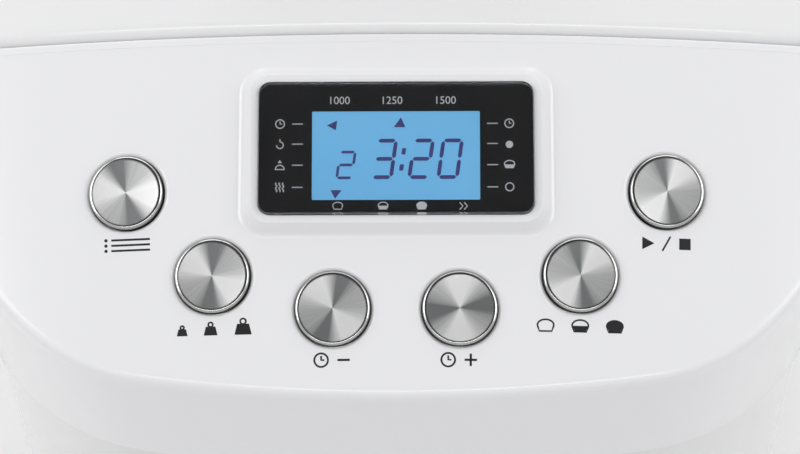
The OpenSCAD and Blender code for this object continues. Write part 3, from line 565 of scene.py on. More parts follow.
def make_lower_housing(finish):
    """The wall under the skirt, rounded at its foot, with its vents cut through."""
    skin = Skin()
    low, high = housing_low[2], housing_high[2]
    foot_r = 2 * MM
    rings = [[(x, y, low + foot_r * (1 - math.cos(a))) for x, y in
              whole_plan(SET_BACK + foot_r * (1 - math.sin(a)))] for a in FILLET_TURNS]
    rings += [[(x, y, low + (high - low) * i / 6) for x, y in whole_plan(SET_BACK)] for i in range(1, 7)]
    skin.loft(rings)
    shell = skin.piece("lower_housing_shell", finish, 32, WALL)
    cutters = Skin()

    def slot(middle, size):
        loop = rounded(size[1], size[2], size[1] * 0.49, 6)
        along = Vector((1, 0, 0)) if size[0] == "x" else Vector((0, 1, 0))
        across = Vector((0, 1, 0)) if size[0] == "x" else Vector((1, 0, 0))
        rings = [[middle + along * t + across * a + Vector((0, 0, b)) for a, b in loop]
                 for t in (-12 * MM, 12 * MM)]
        cutters.solid(rings)

    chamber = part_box("baking_chamber")
    chamber_y = (chamber[0][1] + chamber[1][1]) / 2
    for side in (-1, 1):
        for i in range(10):
            slot(Vector((side * HALF_W, chamber_y + (10 * i - 45) * MM, 120 * MM)), ("x", 3 * MM, 60 * MM))
    for i in range(9):
        slot(Vector(((8 * i - 8) * MM, REAR_Y, 45 * MM)), ("y", 3 * MM, 30 * MM))
    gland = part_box("cable_gland")
    hole = Vector(((gland[0][0] + gland[1][0]) / 2, REAR_Y, (gland[0][2] + gland[1][2]) / 2))
    slot(hole, ("y", 14 * MM, 14.2 * MM))
    tool = cutters.piece("vent_cutters", finish)
    cut = shell.modifiers.new("vents", "BOOLEAN")
    cut.object = tool
    cut.operation = "DIFFERENCE"
    cut.solver = "EXACT"
    settle(shell)
    bpy.data.objects.remove(tool)
    put(dress(shell, finish, 32), "root", "lower_abs", "lower_housing")


# ---------------------------------------------------------------- materials
# A pattern's scale is its repeats to the millimetre: 0.9 / MM repeats every 1.1 mm
def linear(code):
    """sRGB hex colour as linear RGBA."""
    values = [int(code[i:i + 2], 16) / 255 for i in (1, 3, 5)]
    return tuple(v / 12.92 if v <= 0.04045 else ((v + 0.055) / 1.055) ** 2.4 for v in values) + (1.0,)


def add_node(tree, kind, links=(), **settings):
    """Adds a node. A setting names an input or a property; a link is (input, output socket or value)."""
    node = tree.nodes.new(kind)
    for name, value in settings.items():
        if name in node.bl_rna.properties:
            setattr(node, name, value)
        else:
            node.inputs[name.replace("_", " ")].default_value = value
    for name, source in links:
        if isinstance(source, bpy.types.NodeSocket):
            tree.links.new(source, node.inputs[name])
        else:
            node.inputs[name].default_value = source
    return node


def new_material(name, **settings):
    """A material with a Principled shader; settings are its inputs, with _ for a space."""
    material = bpy.data.materials.new(name)
    material.use_nodes = True
    tree = material.node_tree
    shader = tree.nodes["Principled BSDF"]
    for key, value in settings.items():
        shader.inputs[key.replace("_", " ")].default_value = value
    return material, tree, shader


def feed(tree, node, **outputs):
    """Links output sockets to the inputs of a node, named with _ for a space."""
    for name, output in outputs.items():
        tree.links.new(output, node.inputs[name.replace("_", " ")])


def glossy_abs(name, colour="#e9e9eb", roughness=0.13):
    """Injection moulded ABS, mirror-polished tool: gloss with a trace of sink and long soft waves."""
    material, tree, shader = new_material(name, Base_Color=linear(colour), Roughness=roughness, IOR=1.54,
                                          Coat_Weight=0.25, Coat_Roughness=0.05)
    place = add_node(tree, "ShaderNodeTexCoord")
    wave = add_node(tree, "ShaderNodeTexNoise", [("Vector", place.outputs["Object"])], Scale=0.018 / MM,
                    Detail=1)
    grain = add_node(tree, "ShaderNodeTexNoise", [("Vector", place.outputs["Object"])], Scale=0.9 / MM,
                    Detail=2)
    mix = add_node(tree, "ShaderNodeMath", [(0, wave.outputs["Fac"]), (1, grain.outputs["Fac"])],
                   operation="MULTIPLY")
    relief = add_node(tree, "ShaderNodeBump", [("Height", mix.outputs[0])], Distance=0.02 * MM,
                      Strength=0.25)
    feed(tree, shader, Normal=relief.outputs["Normal"])
    shade = add_node(tree, "ShaderNodeMapRange", [("Value", grain.outputs["Fac"])], To_Min=roughness - 0.03,
                     To_Max=roughness + 0.05)
    feed(tree, shader, Roughness=shade.outputs["Result"])
    return material


def spun_aluminium(name, place, lit, dark):
    """Aluminium turned on a lathe and clear coated: fine circular grooves that throw two bright
    fans across the face. The fans are also painted into its colour, as painted highlight and
    painted shade, because the grooves are too fine to catch a small lamp at this size. lit and
    dark are the angles of the painted bright and dark fans."""
    material, tree, shader = new_material(name, Metallic=1.0, Anisotropic=0.15)
    inverse = place.inverted()
    coord = add_node(tree, "ShaderNodeTexCoord")
    turn = inverse.to_euler("XYZ")
    local = add_node(tree, "ShaderNodeMapping", [("Vector", coord.outputs["Object"])],
                     Location=inverse.to_translation(), Rotation=turn)
    split = add_node(tree, "ShaderNodeSeparateXYZ", [("Vector", local.outputs["Vector"])])
    angle = add_node(tree, "ShaderNodeMath", [(0, split.outputs["Y"]), (1, split.outputs["X"])],
                     operation="ARCTAN2")

    def painted_fan_pair(at, power):
        """Two opposite painted highlight fans about an angle: 1 in their middle, and the narrower the higher
        the power.
        """
        off = add_node(tree, "ShaderNodeMath", [(0, angle.outputs[0]), (1, at)], operation="SUBTRACT")
        swing = add_node(tree, "ShaderNodeMath", [(0, off.outputs[0])], operation="COSINE")
        size = add_node(tree, "ShaderNodeMath", [(0, swing.outputs[0])], operation="ABSOLUTE")
        sharp = add_node(tree, "ShaderNodeMath", [(0, size.outputs[0]), (1, power)], operation="POWER")
        return sharp.outputs[0]

    painted_fans = add_node(tree, "ShaderNodeMath", [(0, painted_fan_pair(dark, 14)), (1, -0.75), (2, painted_fan_pair(lit, 5))],
                   operation="MULTIPLY_ADD")
    flat = add_node(tree, "ShaderNodeCombineXYZ", [("X", split.outputs["X"]), ("Y", split.outputs["Y"])])
    radius = add_node(tree, "ShaderNodeVectorMath", [(0, flat.outputs["Vector"])], operation="LENGTH")
    around = add_node(tree, "ShaderNodeMath", [(0, angle.outputs[0]), (1, 0.0006)], operation="MULTIPLY")
    groove_at = add_node(tree, "ShaderNodeCombineXYZ",
                         [("X", radius.outputs["Value"]), ("Y", around.outputs[0])])
    groove = add_node(tree, "ShaderNodeTexNoise", [("Vector", groove_at.outputs["Vector"])], Scale=5.2 / MM,
                      Detail=3, Roughness=0.7)
    streak_at = add_node(tree, "ShaderNodeCombineXYZ",
                         [("X", angle.outputs[0]), ("Y", radius.outputs["Value"])])
    streak = add_node(tree, "ShaderNodeTexNoise", [("Vector", streak_at.outputs["Vector"])], Scale=9,
                      Detail=4, Roughness=0.75)
    # tone: random streaks plus the painted highlight and painted shade fans, which lighten and darken the
    # base colour
    tone = add_node(tree, "ShaderNodeMath", [(0, streak.outputs["Fac"]), (1, 0.5), (2, painted_fans.outputs[0])],
                    operation="MULTIPLY_ADD")
    ramp = add_node(tree, "ShaderNodeMapRange", [("Value", tone.outputs[0])], From_Min=-0.25, From_Max=0.95)
    colour = add_node(tree, "ShaderNodeMix", [("Factor", ramp.outputs["Result"]), (6, linear("#868788")),
                                              (7, linear("#ffffff"))], data_type="RGBA")
    feed(tree, shader, Base_Color=colour.outputs[2])
    shade = add_node(tree, "ShaderNodeMapRange", [("Value", groove.outputs["Fac"])], To_Min=0.34,
                     To_Max=0.5)
    feed(tree, shader, Roughness=shade.outputs["Result"])
    spoke = add_node(tree, "ShaderNodeVectorMath",
                     [(0, coord.outputs["Object"]), (1, place.to_translation())], operation="SUBTRACT")
    along = add_node(tree, "ShaderNodeVectorMath",
                     [(0, place.to_3x3() @ Vector((0, 0, 1))), (1, spoke.outputs["Vector"])],
                     operation="CROSS_PRODUCT")
    level = add_node(tree, "ShaderNodeVectorMath", [(0, along.outputs["Vector"])], operation="NORMALIZE")
    feed(tree, shader, Tangent=level.outputs["Vector"])
    relief = add_node(tree, "ShaderNodeBump", [("Height", groove.outputs["Fac"])], Distance=0.03 * MM,
                      Strength=0.5)
    feed(tree, shader, Normal=relief.outputs["Normal"])
    return material


def grained(name, colour, roughness, per_mm, depth, metallic=0.0, spread=0.06, tint=0.12, **settings):
    """A plain finish with a fine grain: its colour, gloss and relief vary with one noise pattern. It
    has per_mm grains to the millimetre, as fine as the render can show, and depth is in millimetres."""
    material, tree, shader = new_material(name, Roughness=roughness, Metallic=metallic, **settings)
    place = add_node(tree, "ShaderNodeTexCoord")
    noise = add_node(tree, "ShaderNodeTexNoise", [("Vector", place.outputs["Object"])], Scale=per_mm / MM,
                     Detail=3)
    dark, pale = (tuple(min(1, c * share) for c in linear(colour)[:3]) + (1,)
                  for share in (1 - tint, 1 + tint))
    colour = add_node(tree, "ShaderNodeMix", [("Factor", noise.outputs["Fac"]), (6, dark), (7, pale)],
                      data_type="RGBA")
    feed(tree, shader, Base_Color=colour.outputs[2])
    shade = add_node(tree, "ShaderNodeMapRange", [("Value", noise.outputs["Fac"])],
                     To_Min=max(0.02, roughness - spread), To_Max=min(1, roughness + spread))
    feed(tree, shader, Roughness=shade.outputs["Result"])
    relief = add_node(tree, "ShaderNodeBump", [("Height", noise.outputs["Fac"])], Distance=depth * MM,
                      Strength=0.5)
    feed(tree, shader, Normal=relief.outputs["Normal"])
    return material


def brushed(name, colour, roughness, axis):
    """Sheet or bar brushed along one axis: long scratches, stretched 40 to 1 and drawn coarser than
    real ones so that they show."""
    material, tree, shader = new_material(name, Base_Color=linear(colour), Metallic=1.0, Anisotropic=0.4)
    place = add_node(tree, "ShaderNodeTexCoord")
    stretch = [1.0, 1.0, 1.0]
    stretch[axis] = 0.025
    along = add_node(tree, "ShaderNodeMapping", [("Vector", place.outputs["Object"])], Scale=stretch)
    noise = add_node(tree, "ShaderNodeTexNoise", [("Vector", along.outputs["Vector"])], Scale=1.8 / MM,
                    Detail=3)
    shade = add_node(tree, "ShaderNodeMapRange", [("Value", noise.outputs["Fac"])], To_Min=roughness - 0.08,
                     To_Max=roughness + 0.1)
    feed(tree, shader, Roughness=shade.outputs["Result"])
    relief = add_node(tree, "ShaderNodeBump", [("Height", noise.outputs["Fac"])], Distance=0.02 * MM,
                      Strength=0.4)
    feed(tree, shader, Normal=relief.outputs["Normal"])
    return material


def speckled_coating(name):
    """Non-stick coating on sheet metal: near-black with fine pale specks and an orange-peel surface."""
    material, tree, shader = new_material(name, Roughness=0.42, Metallic=0.0, IOR=1.45)
    place = add_node(tree, "ShaderNodeTexCoord")
    specks = add_node(tree, "ShaderNodeTexVoronoi", [("Vector", place.outputs["Object"])], Scale=0.7 / MM)
    dots = add_node(tree, "ShaderNodeMapRange", [("Value", specks.outputs["Distance"])], From_Min=0.12,
                    From_Max=0.2)
    colour = add_node(tree, "ShaderNodeMix", [("Factor", dots.outputs["Result"]), (6, linear("#8a8b8d")),
                                              (7, linear("#2c2d2f"))], data_type="RGBA")
    feed(tree, shader, Base_Color=colour.outputs[2])
    peel = add_node(tree, "ShaderNodeTexNoise", [("Vector", place.outputs["Object"])], Scale=0.42 / MM,
                    Detail=1)
    relief = add_node(tree, "ShaderNodeBump", [("Height", peel.outputs["Fac"])], Distance=0.05 * MM,
                      Strength=0.5)
    feed(tree, shader, Normal=relief.outputs["Normal"])
    return material


def circuit_board(name):
    """Glass-epoxy board under green solder mask, with the tracks showing as paler lines."""
    material, tree, shader = new_material(name, Roughness=0.3, IOR=1.5, Coat_Weight=0.3)
    place = add_node(tree, "ShaderNodeTexCoord")
    tracks = add_node(tree, "ShaderNodeTexBrick", [("Vector", place.outputs["Object"])], Scale=0.09 / MM,
                      Mortar_Size=0.03, Bias=-0.4, Brick_Width=0.9, Row_Height=0.14, Mortar=linear("#2d7a4d"),
                      Color1=linear("#0f4a2a"), Color2=linear("#145533"))
    feed(tree, shader, Base_Color=tracks.outputs["Color"])
    relief = add_node(tree, "ShaderNodeBump", [("Height", tracks.outputs["Fac"])], Distance=0.035 * MM,
                      Strength=0.5)
    feed(tree, shader, Normal=relief.outputs["Normal"])
    return material


# ---------------------------------------------------------------- buttons
# Angles of the painted bright highlight fans and of the narrow painted dark fans on each face, in degrees
PAINTED_FANS = {"menu": (172, 108), "weight": (145, 86), "time_minus": (128, 72), "time_plus": (90, 8),
        "browning": (52, 97), "start_stop": (58, 100)}


def make_button(name, ring_finish):
    """A cap with a polished, bevelled rim, and a separate spun face set a little below it."""
    place = button_frame(name)
    face_r = BUTTON_R - 1.15 * MM
    cap = Skin()
    profile = [(face_r, BUTTON_PROUD - 0.75 * MM), (face_r, BUTTON_PROUD - 0.15 * MM),
               (face_r + 0.12 * MM, BUTTON_PROUD), (BUTTON_R - 0.75 * MM, BUTTON_PROUD)]
    profile += [(BUTTON_R - 0.75 * MM * (1 - math.sin(a)), BUTTON_PROUD - 0.6 * MM * (1 - math.cos(a)))
                for a in FILLET_TURNS[1:]]
    profile += [(BUTTON_R, -3.3 * MM), (BUTTON_R + 1.6 * MM, -3.3 * MM), (BUTTON_R + 1.6 * MM, -5.3 * MM),
                (3 * MM, -5.3 * MM), (3 * MM, -9.5 * MM), (0.2 * MM, -9.5 * MM)]
    cap.solid([placed(place, circle(r), z) for r, z in profile])
    face = Skin()
    dish = [(face_r * t / 16, BUTTON_PROUD - (0.3 - 0.22 * t * t / 256) * MM) for t in range(1, 16)]
    edge = [(face_r - 0.1 * MM, BUTTON_PROUD - 0.08 * MM), (face_r - 0.02 * MM, BUTTON_PROUD - 0.14 * MM),
            (face_r - 0.02 * MM, BUTTON_PROUD - 0.75 * MM)]
    face.solid([placed(place, circle(r), z) for r, z in dish + edge])
    # each face has its own material, with its painted highlight and painted shade fans at its angles
    finish = spun_aluminium(f"spun_aluminium_{name}", place, *[math.radians(a) for a in PAINTED_FANS[name]])
    for skin, part, material in ((cap, "cap", ring_finish), (face, "face", finish)):
        put(skin.piece(f"{name}_button_{part}", material, 30), f"{name}_key", "spun_aluminium",
            f"{name}_button")


# ---------------------------------------------------------------- printed pictograms
class Print:
    """Flat printed strokes, laid on a surface by a function of local x and y."""

    def __init__(self, lay):
        self.skin, self.lay = Skin(), lay

    def fill(self, points):
        self.skin.cap([self.lay(x, y) for x, y in points])

    def stroke(self, points, width, closed=False):
        """A ribbon along the points, with mitred turns."""
        left, right = [], []
        count = len(points)
        for i, (x, y) in enumerate(points):
            before = points[i - 1] if i or closed else points[i]
            after = points[(i + 1) % count] if i < count - 1 or closed else points[i]
            dx, dy = after[0] - before[0], after[1] - before[1]
            size = math.hypot(dx, dy) or 1
            nx, ny = -dy / size * width / 2, dx / size * width / 2
            left.append(self.lay(x + nx, y + ny))
            right.append(self.lay(x - nx, y - ny))
        self.skin.loft([left, right], closed)

    def ring(self, x, y, r, width):
        self.stroke([(x + a, y + b) for a, b in circle(r, 32)], width, True)

    def dot(self, x, y, r):
        self.fill([(x + a, y + b) for a, b in circle(r, 20)])

    def clock(self, x, y, r, w):
        self.ring(x, y, r, w)
        self.stroke([(x, y + 0.62 * r), (x, y), (x + 0.45 * r, y)], w)

    def bar(self, x, y, length, w):
        self.stroke([(x - length / 2, y), (x + length / 2, y)], w)

    def loaf(self, x, y, size, w, baked):
        """Loaf seen end on: baked is the share that is filled, from 0 to 1."""
        outline = [(x - 0.42 * size, y - 0.5 * size), (x + 0.42 * size, y - 0.5 * size)]
        outline += [(x + a, y + 0.12 * size + b) for a, b in arc((0, 0), 0.55 * size, -20, 200, 14)]
        outline = [(x + (a - x) * 1.25, y + (b - y) * 0.85) for a, b in outline]
        self.stroke(outline, w, True)
        if baked:
            low, high = y - 0.42 * size, y + 0.55 * size
            level = low + (high - low) * baked
            self.fill([(x + (a - x) * 0.9, min(level, y + (b - y) * 0.9)) for a, b in outline])

    def scale_weight(self, x, y, size, w):
        """Kitchen weight: a trapezium under a small ring."""
        self.fill([(x - 0.55 * size, y - 0.5 * size), (x + 0.55 * size, y - 0.5 * size),
                   (x + 0.38 * size, y + 0.2 * size), (x - 0.38 * size, y + 0.2 * size)])
        self.ring(x, y + 0.36 * size, 0.18 * size, w)

    def hook(self, x, y, size, w):
        """Dough hook: a stem that curls round."""
        self.stroke([(x, y + 0.55 * size)] + [(x + a, y + b) for a, b in
                    arc((0, -0.12 * size), 0.36 * size, 90, -180, 14)], w)

    def rise(self, x, y, size, w):
        """Rising dough: a dome with an arrow over it."""
        self.stroke([(x + a, y - 0.5 * size + b) for a, b in arc((0, 0), 0.5 * size, 0, 180, 14)], w)
        self.bar(x, y - 0.5 * size, 1.1 * size, w)
        self.fill([(x - 0.25 * size, y + 0.25 * size), (x + 0.25 * size, y + 0.25 * size),
                   (x, y + 0.6 * size)])

    def heat(self, x, y, size, w):
        """Three rising waves."""
        for k in (-1, 0, 1):
            self.stroke([(x + k * 0.36 * size + 0.1 * size * math.sin(t * 1.6), y + size * (t / 8 - 0.5))
                         for t in range(9)], w)

    def chevrons(self, x, y, size, w):
        for k in (-0.3, 0.25):
            self.stroke([(x + (k - 0.2) * size, y + 0.45 * size), (x + (k + 0.2) * size, y),
                         (x + (k - 0.2) * size, y - 0.45 * size)], w)

    def number(self, text, x, y, height):
        """Plain numerals, made a mesh before they are laid down."""
        curve = bpy.data.curves.new("numerals", "FONT")
        curve.body = text
        curve.align_x, curve.align_y = "CENTER", "CENTER"
        curve.size = height / 0.7
        holder = bpy.data.objects.new("numerals", curve)
        bpy.context.scene.collection.objects.link(holder)
        mesh = bpy.data.meshes.new_from_object(holder.evaluated_get(bpy.context.evaluated_depsgraph_get()))
        first = len(self.skin.points)
        self.skin.points += [tuple(self.lay(x + v.co.x, y + v.co.y)) for v in mesh.vertices]
        self.skin.faces += [tuple(first + i for i in f.vertices) for f in mesh.polygons]
        bpy.data.objects.remove(holder)

    def done(self, name, finish, slot, thick=0.02 * MM):
        piece = self.skin.piece(name, finish, 60)
        ink = piece.modifiers.new("ink", "SOLIDIFY")
        ink.thickness = thick
        ink.offset = 0
        settle(piece)
        put(dress(piece, finish, 60), "root", slot)


def make_button_prints(finish):
    """Black pictograms under the buttons, each about as wide as its key."""
    stroke = 0.55 * MM
    lift = -0.03 * MM

    def at(name, drop):
        place = button_frame(name)
        return Print(lambda x, y: on_hood(place, x, y - drop, lift))

    p = at("menu", 15.7 * MM)
    for y in (-1.6, 0, 1.6):
        p.dot(-6.2 * MM, y * MM, 0.5 * MM)
        p.bar(1.2 * MM, y * MM, 11.6 * MM, 0.62 * MM)
    p.done("menu_print", finish, "white_abs")
    p = at("weight", 15.3 * MM)
    for x, size in ((-9, 2.9), (-0.6, 3.7), (9, 4.6)):
        p.scale_weight(x * MM, (size - 4.6) * 0.5 * MM, size * MM, 0.5 * MM)
    p.done("weight_print", finish, "white_abs")
    for name, sign in (("time_minus", "minus"), ("time_plus", "plus")):
        p = at(name, 15.2 * MM)
        p.clock(-3.4 * MM, 0, 2.0 * MM, stroke)
        p.bar(3.2 * MM, 0, 3.6 * MM, 0.65 * MM)
        if sign == "plus":
            p.stroke([(3.2 * MM, -1.8 * MM), (3.2 * MM, 1.8 * MM)], 0.65 * MM)
        p.done(f"{name}_print", finish, "white_abs")
    p = at("browning", 15.3 * MM)
    for x, baked in ((-10.2, 0), (0, 0.5), (10.2, 1)):
        p.loaf(x * MM, 0, 3.5 * MM, 0.5 * MM, baked)
    p.done("browning_print", finish, "white_abs")
    p = at("start_stop", 15.7 * MM)
    p.fill([(-7.2 * MM, -1.9 * MM), (-3.6 * MM, 0), (-7.2 * MM, 1.9 * MM)])
    p.stroke([(-1.2 * MM, -2.2 * MM), (1.2 * MM, 2.2 * MM)], 0.5 * MM)
    p.fill([(3.8 * MM, -1.7 * MM), (7.2 * MM, -1.7 * MM), (7.2 * MM, 1.7 * MM), (3.8 * MM, 1.7 * MM)])
    p.done("start_stop_print", finish, "white_abs")


# ---------------------------------------------------------------- display
LCD_S = WINDOW_S - 2 * MM
LCD_W, LCD_H = 49.8 * MM, 26.8 * MM


def make_lens(finish):
    """Clear plate that stands proud of its frame, with a softly broken top edge."""
    place = panel_frame(0, WINDOW_S)
    soft = 0.35 * MM
    steps = [(0.02 * MM, LENS_SEAT), (0, LENS_SEAT + 0.02 * MM), (0, LENS_TOP - soft)]
    steps += [(inset, LENS_TOP - drop) for inset, drop in fillet(soft)[1:]]
    skin = Skin()
    skin.solid([placed(place, rounded(WINDOW_W - 2 * inset, WINDOW_H - 2 * inset, WINDOW_R - inset, 12), z)
                for inset, z in steps])
    put(skin.piece("display_lens", finish, 30), "root", "clear_acrylic", "display_window")


def make_mask(finish):
    """Opaque ink on the back of the lens, open over the cell."""
    place = panel_frame(0, WINDOW_S)
    outer = rounded(WINDOW_W - 0.3 * MM, WINDOW_H - 0.3 * MM, WINDOW_R - 0.15 * MM, 12)
    hole = [(x, y - 2 * MM) for x, y in rounded(LCD_W, LCD_H, 0.4 * MM, 12)]
    skin = Skin()
    near, far = LENS_SEAT - 0.02 * MM, LENS_SEAT - 0.1 * MM
    skin.loft([placed(place, loop, z) for loop, z in
               ((outer, near), (hole, near), (hole, far), (outer, far), (outer, near))])
    put(skin.piece("lens_mask", finish, 30), "root", "clear_acrylic")


def make_screen(glow, segments):
    """Lit face of the cell with its digits and pointers."""
    place = panel_frame(0, LCD_S)
    top = LENS_SEAT - 0.4 * MM
    skin = Skin()
    skin.solid([placed(place, rounded(54 * MM, 30 * MM, 0.5 * MM, 4), top + rise * MM)
                for rise in (0.01, 0.1)])
    put(skin.piece("lcd_face", glow, 30), "root", "lcd")
    lean = math.tan(math.radians(8))
    ink = Print(lambda x, y: place @ Vector((x + y * lean, y, top + 0.15 * MM)))
    for text, x, y, w, h in (("2", -14.4, -2.8, 5.2, 8.6), ("3", -3.3, -1.0, 6.6, 12.2),
                             ("2", 7.6, -1.0, 6.6, 12.2), ("0", 16.2, -1.0, 6.6, 12.2)):
        seven_segments(ink, text, x * MM, y * MM, w * MM, h * MM, 1.15 * MM * h / 12.2)
    for y in (1.3, -3.6):
        ink.fill([(x + 2.15 * MM, a + y * MM) for x, a in rounded(1.2 * MM, 1.9 * MM, 0.2 * MM, 2)])
    ink.fill([(-21.8 * MM, 9.2 * MM), (-18.9 * MM, 7.7 * MM), (-18.9 * MM, 10.7 * MM)])
    ink.fill([(-1.9 * MM, 8.6 * MM), (1.6 * MM, 8.6 * MM), (-0.15 * MM, 11.6 * MM)])
    ink.fill([(-14.6 * MM, -10.4 * MM), (-17.9 * MM, -10.4 * MM), (-16.2 * MM, -13.0 * MM)])
    ink.done("lcd_segments", segments, "lcd")


SEGMENTS = {"0": "abcdef", "2": "abged", "3": "abgcd"}


def seven_segments(ink, text, x, y, w, h, t):
    """One digit of bevelled bars, with the small gaps between them."""
    hw, hh, gap = w / 2 - t / 2, h / 2 - t / 2, 0.16 * t
    ends = {"a": ((-hw, hh), (hw, hh)), "g": ((-hw, 0), (hw, 0)), "d": ((-hw, -hh), (hw, -hh)),
            "f": ((-hw, 0), (-hw, hh)), "b": ((hw, 0), (hw, hh)),
            "e": ((-hw, -hh), (-hw, 0)), "c": ((hw, -hh), (hw, 0))}
    for key in SEGMENTS[text]:
        (x0, y0), (x1, y1) = ends[key]
        flat = y0 == y1
        a, b = (x0 + gap, x1 - gap) if flat else (y0 + gap, y1 - gap)
        bar = [(a, 0), (a + t / 2, -t / 2), (b - t / 2, -t / 2), (b, 0), (b - t / 2, t / 2),
               (a + t / 2, t / 2)]
        ink.fill([(x + p, y + y0 + q) if flat else (x + x0 - q, y + p) for p, q in bar])


def make_window_prints(finish):
    """Pale markings on the back of the lens: sizes in grams, programme stages and crust."""
    place = panel_frame(0, WINDOW_S)
    p = Print(lambda x, y: place @ Vector((x, y, LENS_SEAT + 0.04 * MM)))
    line = 0.32 * MM
    for x, text in ((-16.9, "1000"), (-1.3, "1250"), (14.6, "1500")):
        p.number(text, x * MM, 14.6 * MM, 2.3 * MM)
    rows = [7.6, 1.5, -4.9, -11.6]
    p.clock(-34.4 * MM, rows[0] * MM, 1.3 * MM, line)
    p.hook(-34.4 * MM, rows[1] * MM, 2.8 * MM, line)
    p.rise(-34.4 * MM, rows[2] * MM, 2.6 * MM, line)
    p.heat(-34.4 * MM, rows[3] * MM, 2.8 * MM, line)
    for y in rows:
        p.bar(-29.2 * MM, y * MM, 3.2 * MM, 0.3 * MM)
    p.clock(33.6 * MM, rows[0] * MM, 1.3 * MM, line)
    p.dot(33.6 * MM, (rows[1] - 0.3) * MM, 1.1 * MM)
    p.loaf(33.6 * MM, rows[2] * MM, 2.2 * MM, line, 0.45)
    p.ring(33.6 * MM, rows[3] * MM, 1.2 * MM, line)
    for y in rows:
        p.bar(28.6 * MM, y * MM, 3.2 * MM, 0.3 * MM)
    for x, baked in ((-17.2, 0), (-3.8, 0.5), (7.6, 1)):
        p.loaf(x * MM, -17.3 * MM, 2.1 * MM, 0.28 * MM, baked)
    p.chevrons(20.0 * MM, -17.3 * MM, 2.4 * MM, 0.34 * MM)
    p.done("lens_print", finish, "clear_acrylic", 0.01 * MM)


# ---------------------------------------------------------------- optical and lit materials
def clear_plate(name, tint, roughness, ior):
    """Clear moulded or float plate: polished, with the faintest wipe marks in its gloss."""
    material, tree, shader = new_material(name, Base_Color=linear(tint), Transmission_Weight=1.0, IOR=ior)
    place = add_node(tree, "ShaderNodeTexCoord")
    wipe = add_node(tree, "ShaderNodeTexNoise", [("Vector", place.outputs["Object"])], Scale=0.06 / MM,
                    Detail=2)
    shade = add_node(tree, "ShaderNodeMapRange", [("Value", wipe.outputs["Fac"])], To_Min=roughness,
                     To_Max=roughness + 0.03)
    feed(tree, shader, Roughness=shade.outputs["Result"])
    return material


def lit_cell(name):
    """Backlit blue cell: even glow, a little paler toward the middle, with a fine dot grid."""
    material, tree, shader = new_material(name, Roughness=0.3, Emission_Strength=0.62)
    place = add_node(tree, "ShaderNodeTexCoord")
    glow = add_node(tree, "ShaderNodeTexNoise", [("Vector", place.outputs["Object"])], Scale=0.014 / MM,
                    Detail=1)
    blue = add_node(tree, "ShaderNodeMix", [("Factor", glow.outputs["Fac"]), (6, linear("#5aa0cc")),
                                            (7, linear("#76b4da"))], data_type="RGBA")
    feed(tree, shader, Base_Color=blue.outputs[2], Emission_Color=blue.outputs[2])
    grid = add_node(tree, "ShaderNodeTexVoronoi", [("Vector", place.outputs["Object"])], Scale=4.5 / MM)
    relief = add_node(tree, "ShaderNodeBump", [("Height", grid.outputs["Distance"])], Distance=0.01 * MM,
                      Strength=0.2)
    feed(tree, shader, Normal=relief.outputs["Normal"])
    return material


# ---------------------------------------------------------------- lid fittings
def crowned_plate(w, d, r, low, high, soft, middle):
    """Plate with rounded corners, set back by soft at its lower edge and rounded at its upper one."""
    skin = Skin()

    def ring(inset, height):
        loop = [(x, y + middle) for x, y in rounded(w - 2 * inset, d - 2 * inset, r - inset, 10)]
        return [(x, y, height) for x, y in loop]

    skin.solid([ring(soft, low), ring(0, low + soft), ring(0, high - soft)]
               + [ring(inset, high - drop) for inset, drop in fillet(soft)[1:]])
    return skin


def make_lid_glass(finish):
    low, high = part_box("lid_window")
    skin = crowned_plate(high[0] - low[0], high[1] - low[1], 9 * MM, low[2], high[2], 0.4 * MM,
                         (low[1] + high[1]) / 2)
    put(skin.piece("lid_glass", finish, 30), "lid", "glass", "lid_window")


def make_grip(finish):
    """Arched grip across the lid: a bar with soft edges on two feet that follow the lid."""
    low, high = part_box("lid_handle")
    y0, y1, top = low[1], high[1], high[2]
    half, bar, leg, soft, sunk = (high[0] - low[0]) / 2, 5 * MM, 16 * MM, 1.6 * MM, 1 * MM
    bend_out, bend_in = 10 * MM, 3 * MM
    middle = (y0 + y1) / 2
    outer = arc((half - bend_out, top - bend_out), bend_out, 90, 0, 12)
    inner = arc((half - leg - bend_in, top - bar - bend_in), bend_in, 90, 0, 12)
    top_line = [(-x, z) for x, z in reversed(outer)] + outer
    low_line = [(-x, z) for x, z in reversed(inner)] + inner
    upper = [(-half, None), *top_line, (half, None)]
    under = [(leg - half, None), *low_line, (half - leg, None)]

    def ring(pair_out, pair_in):
        """Closed cross-section between an outer and an inner point; one without a height is on the lid."""
        a, b = (Vector((x, 0, lid_z(x, middle) - sunk if z is None else z)) for x, z in (pair_out, pair_in))
        way = (b - a).normalized()
        points = []
        for sy, sw, start in ((1, -1, 0), (-1, -1, 90), (-1, 1, 180), (1, 1, 270)):
            for k in range(7):
                t = math.radians(start + 15 * k)
                y = middle + sy * ((y1 - y0) / 2 - soft) + soft * math.cos(t)
                w = (soft if sw < 0 else (b - a).length - soft) - soft * math.sin(t)
                points.append((a.x + way.x * w, y, a.z + way.z * w))
        return points

    skin = Skin()
    skin.solid([ring(p, q) for p, q in zip(upper, under)])
    put(skin.piece("lid_grip", finish, 40), "lid", "grip_plastic", "lid_handle")


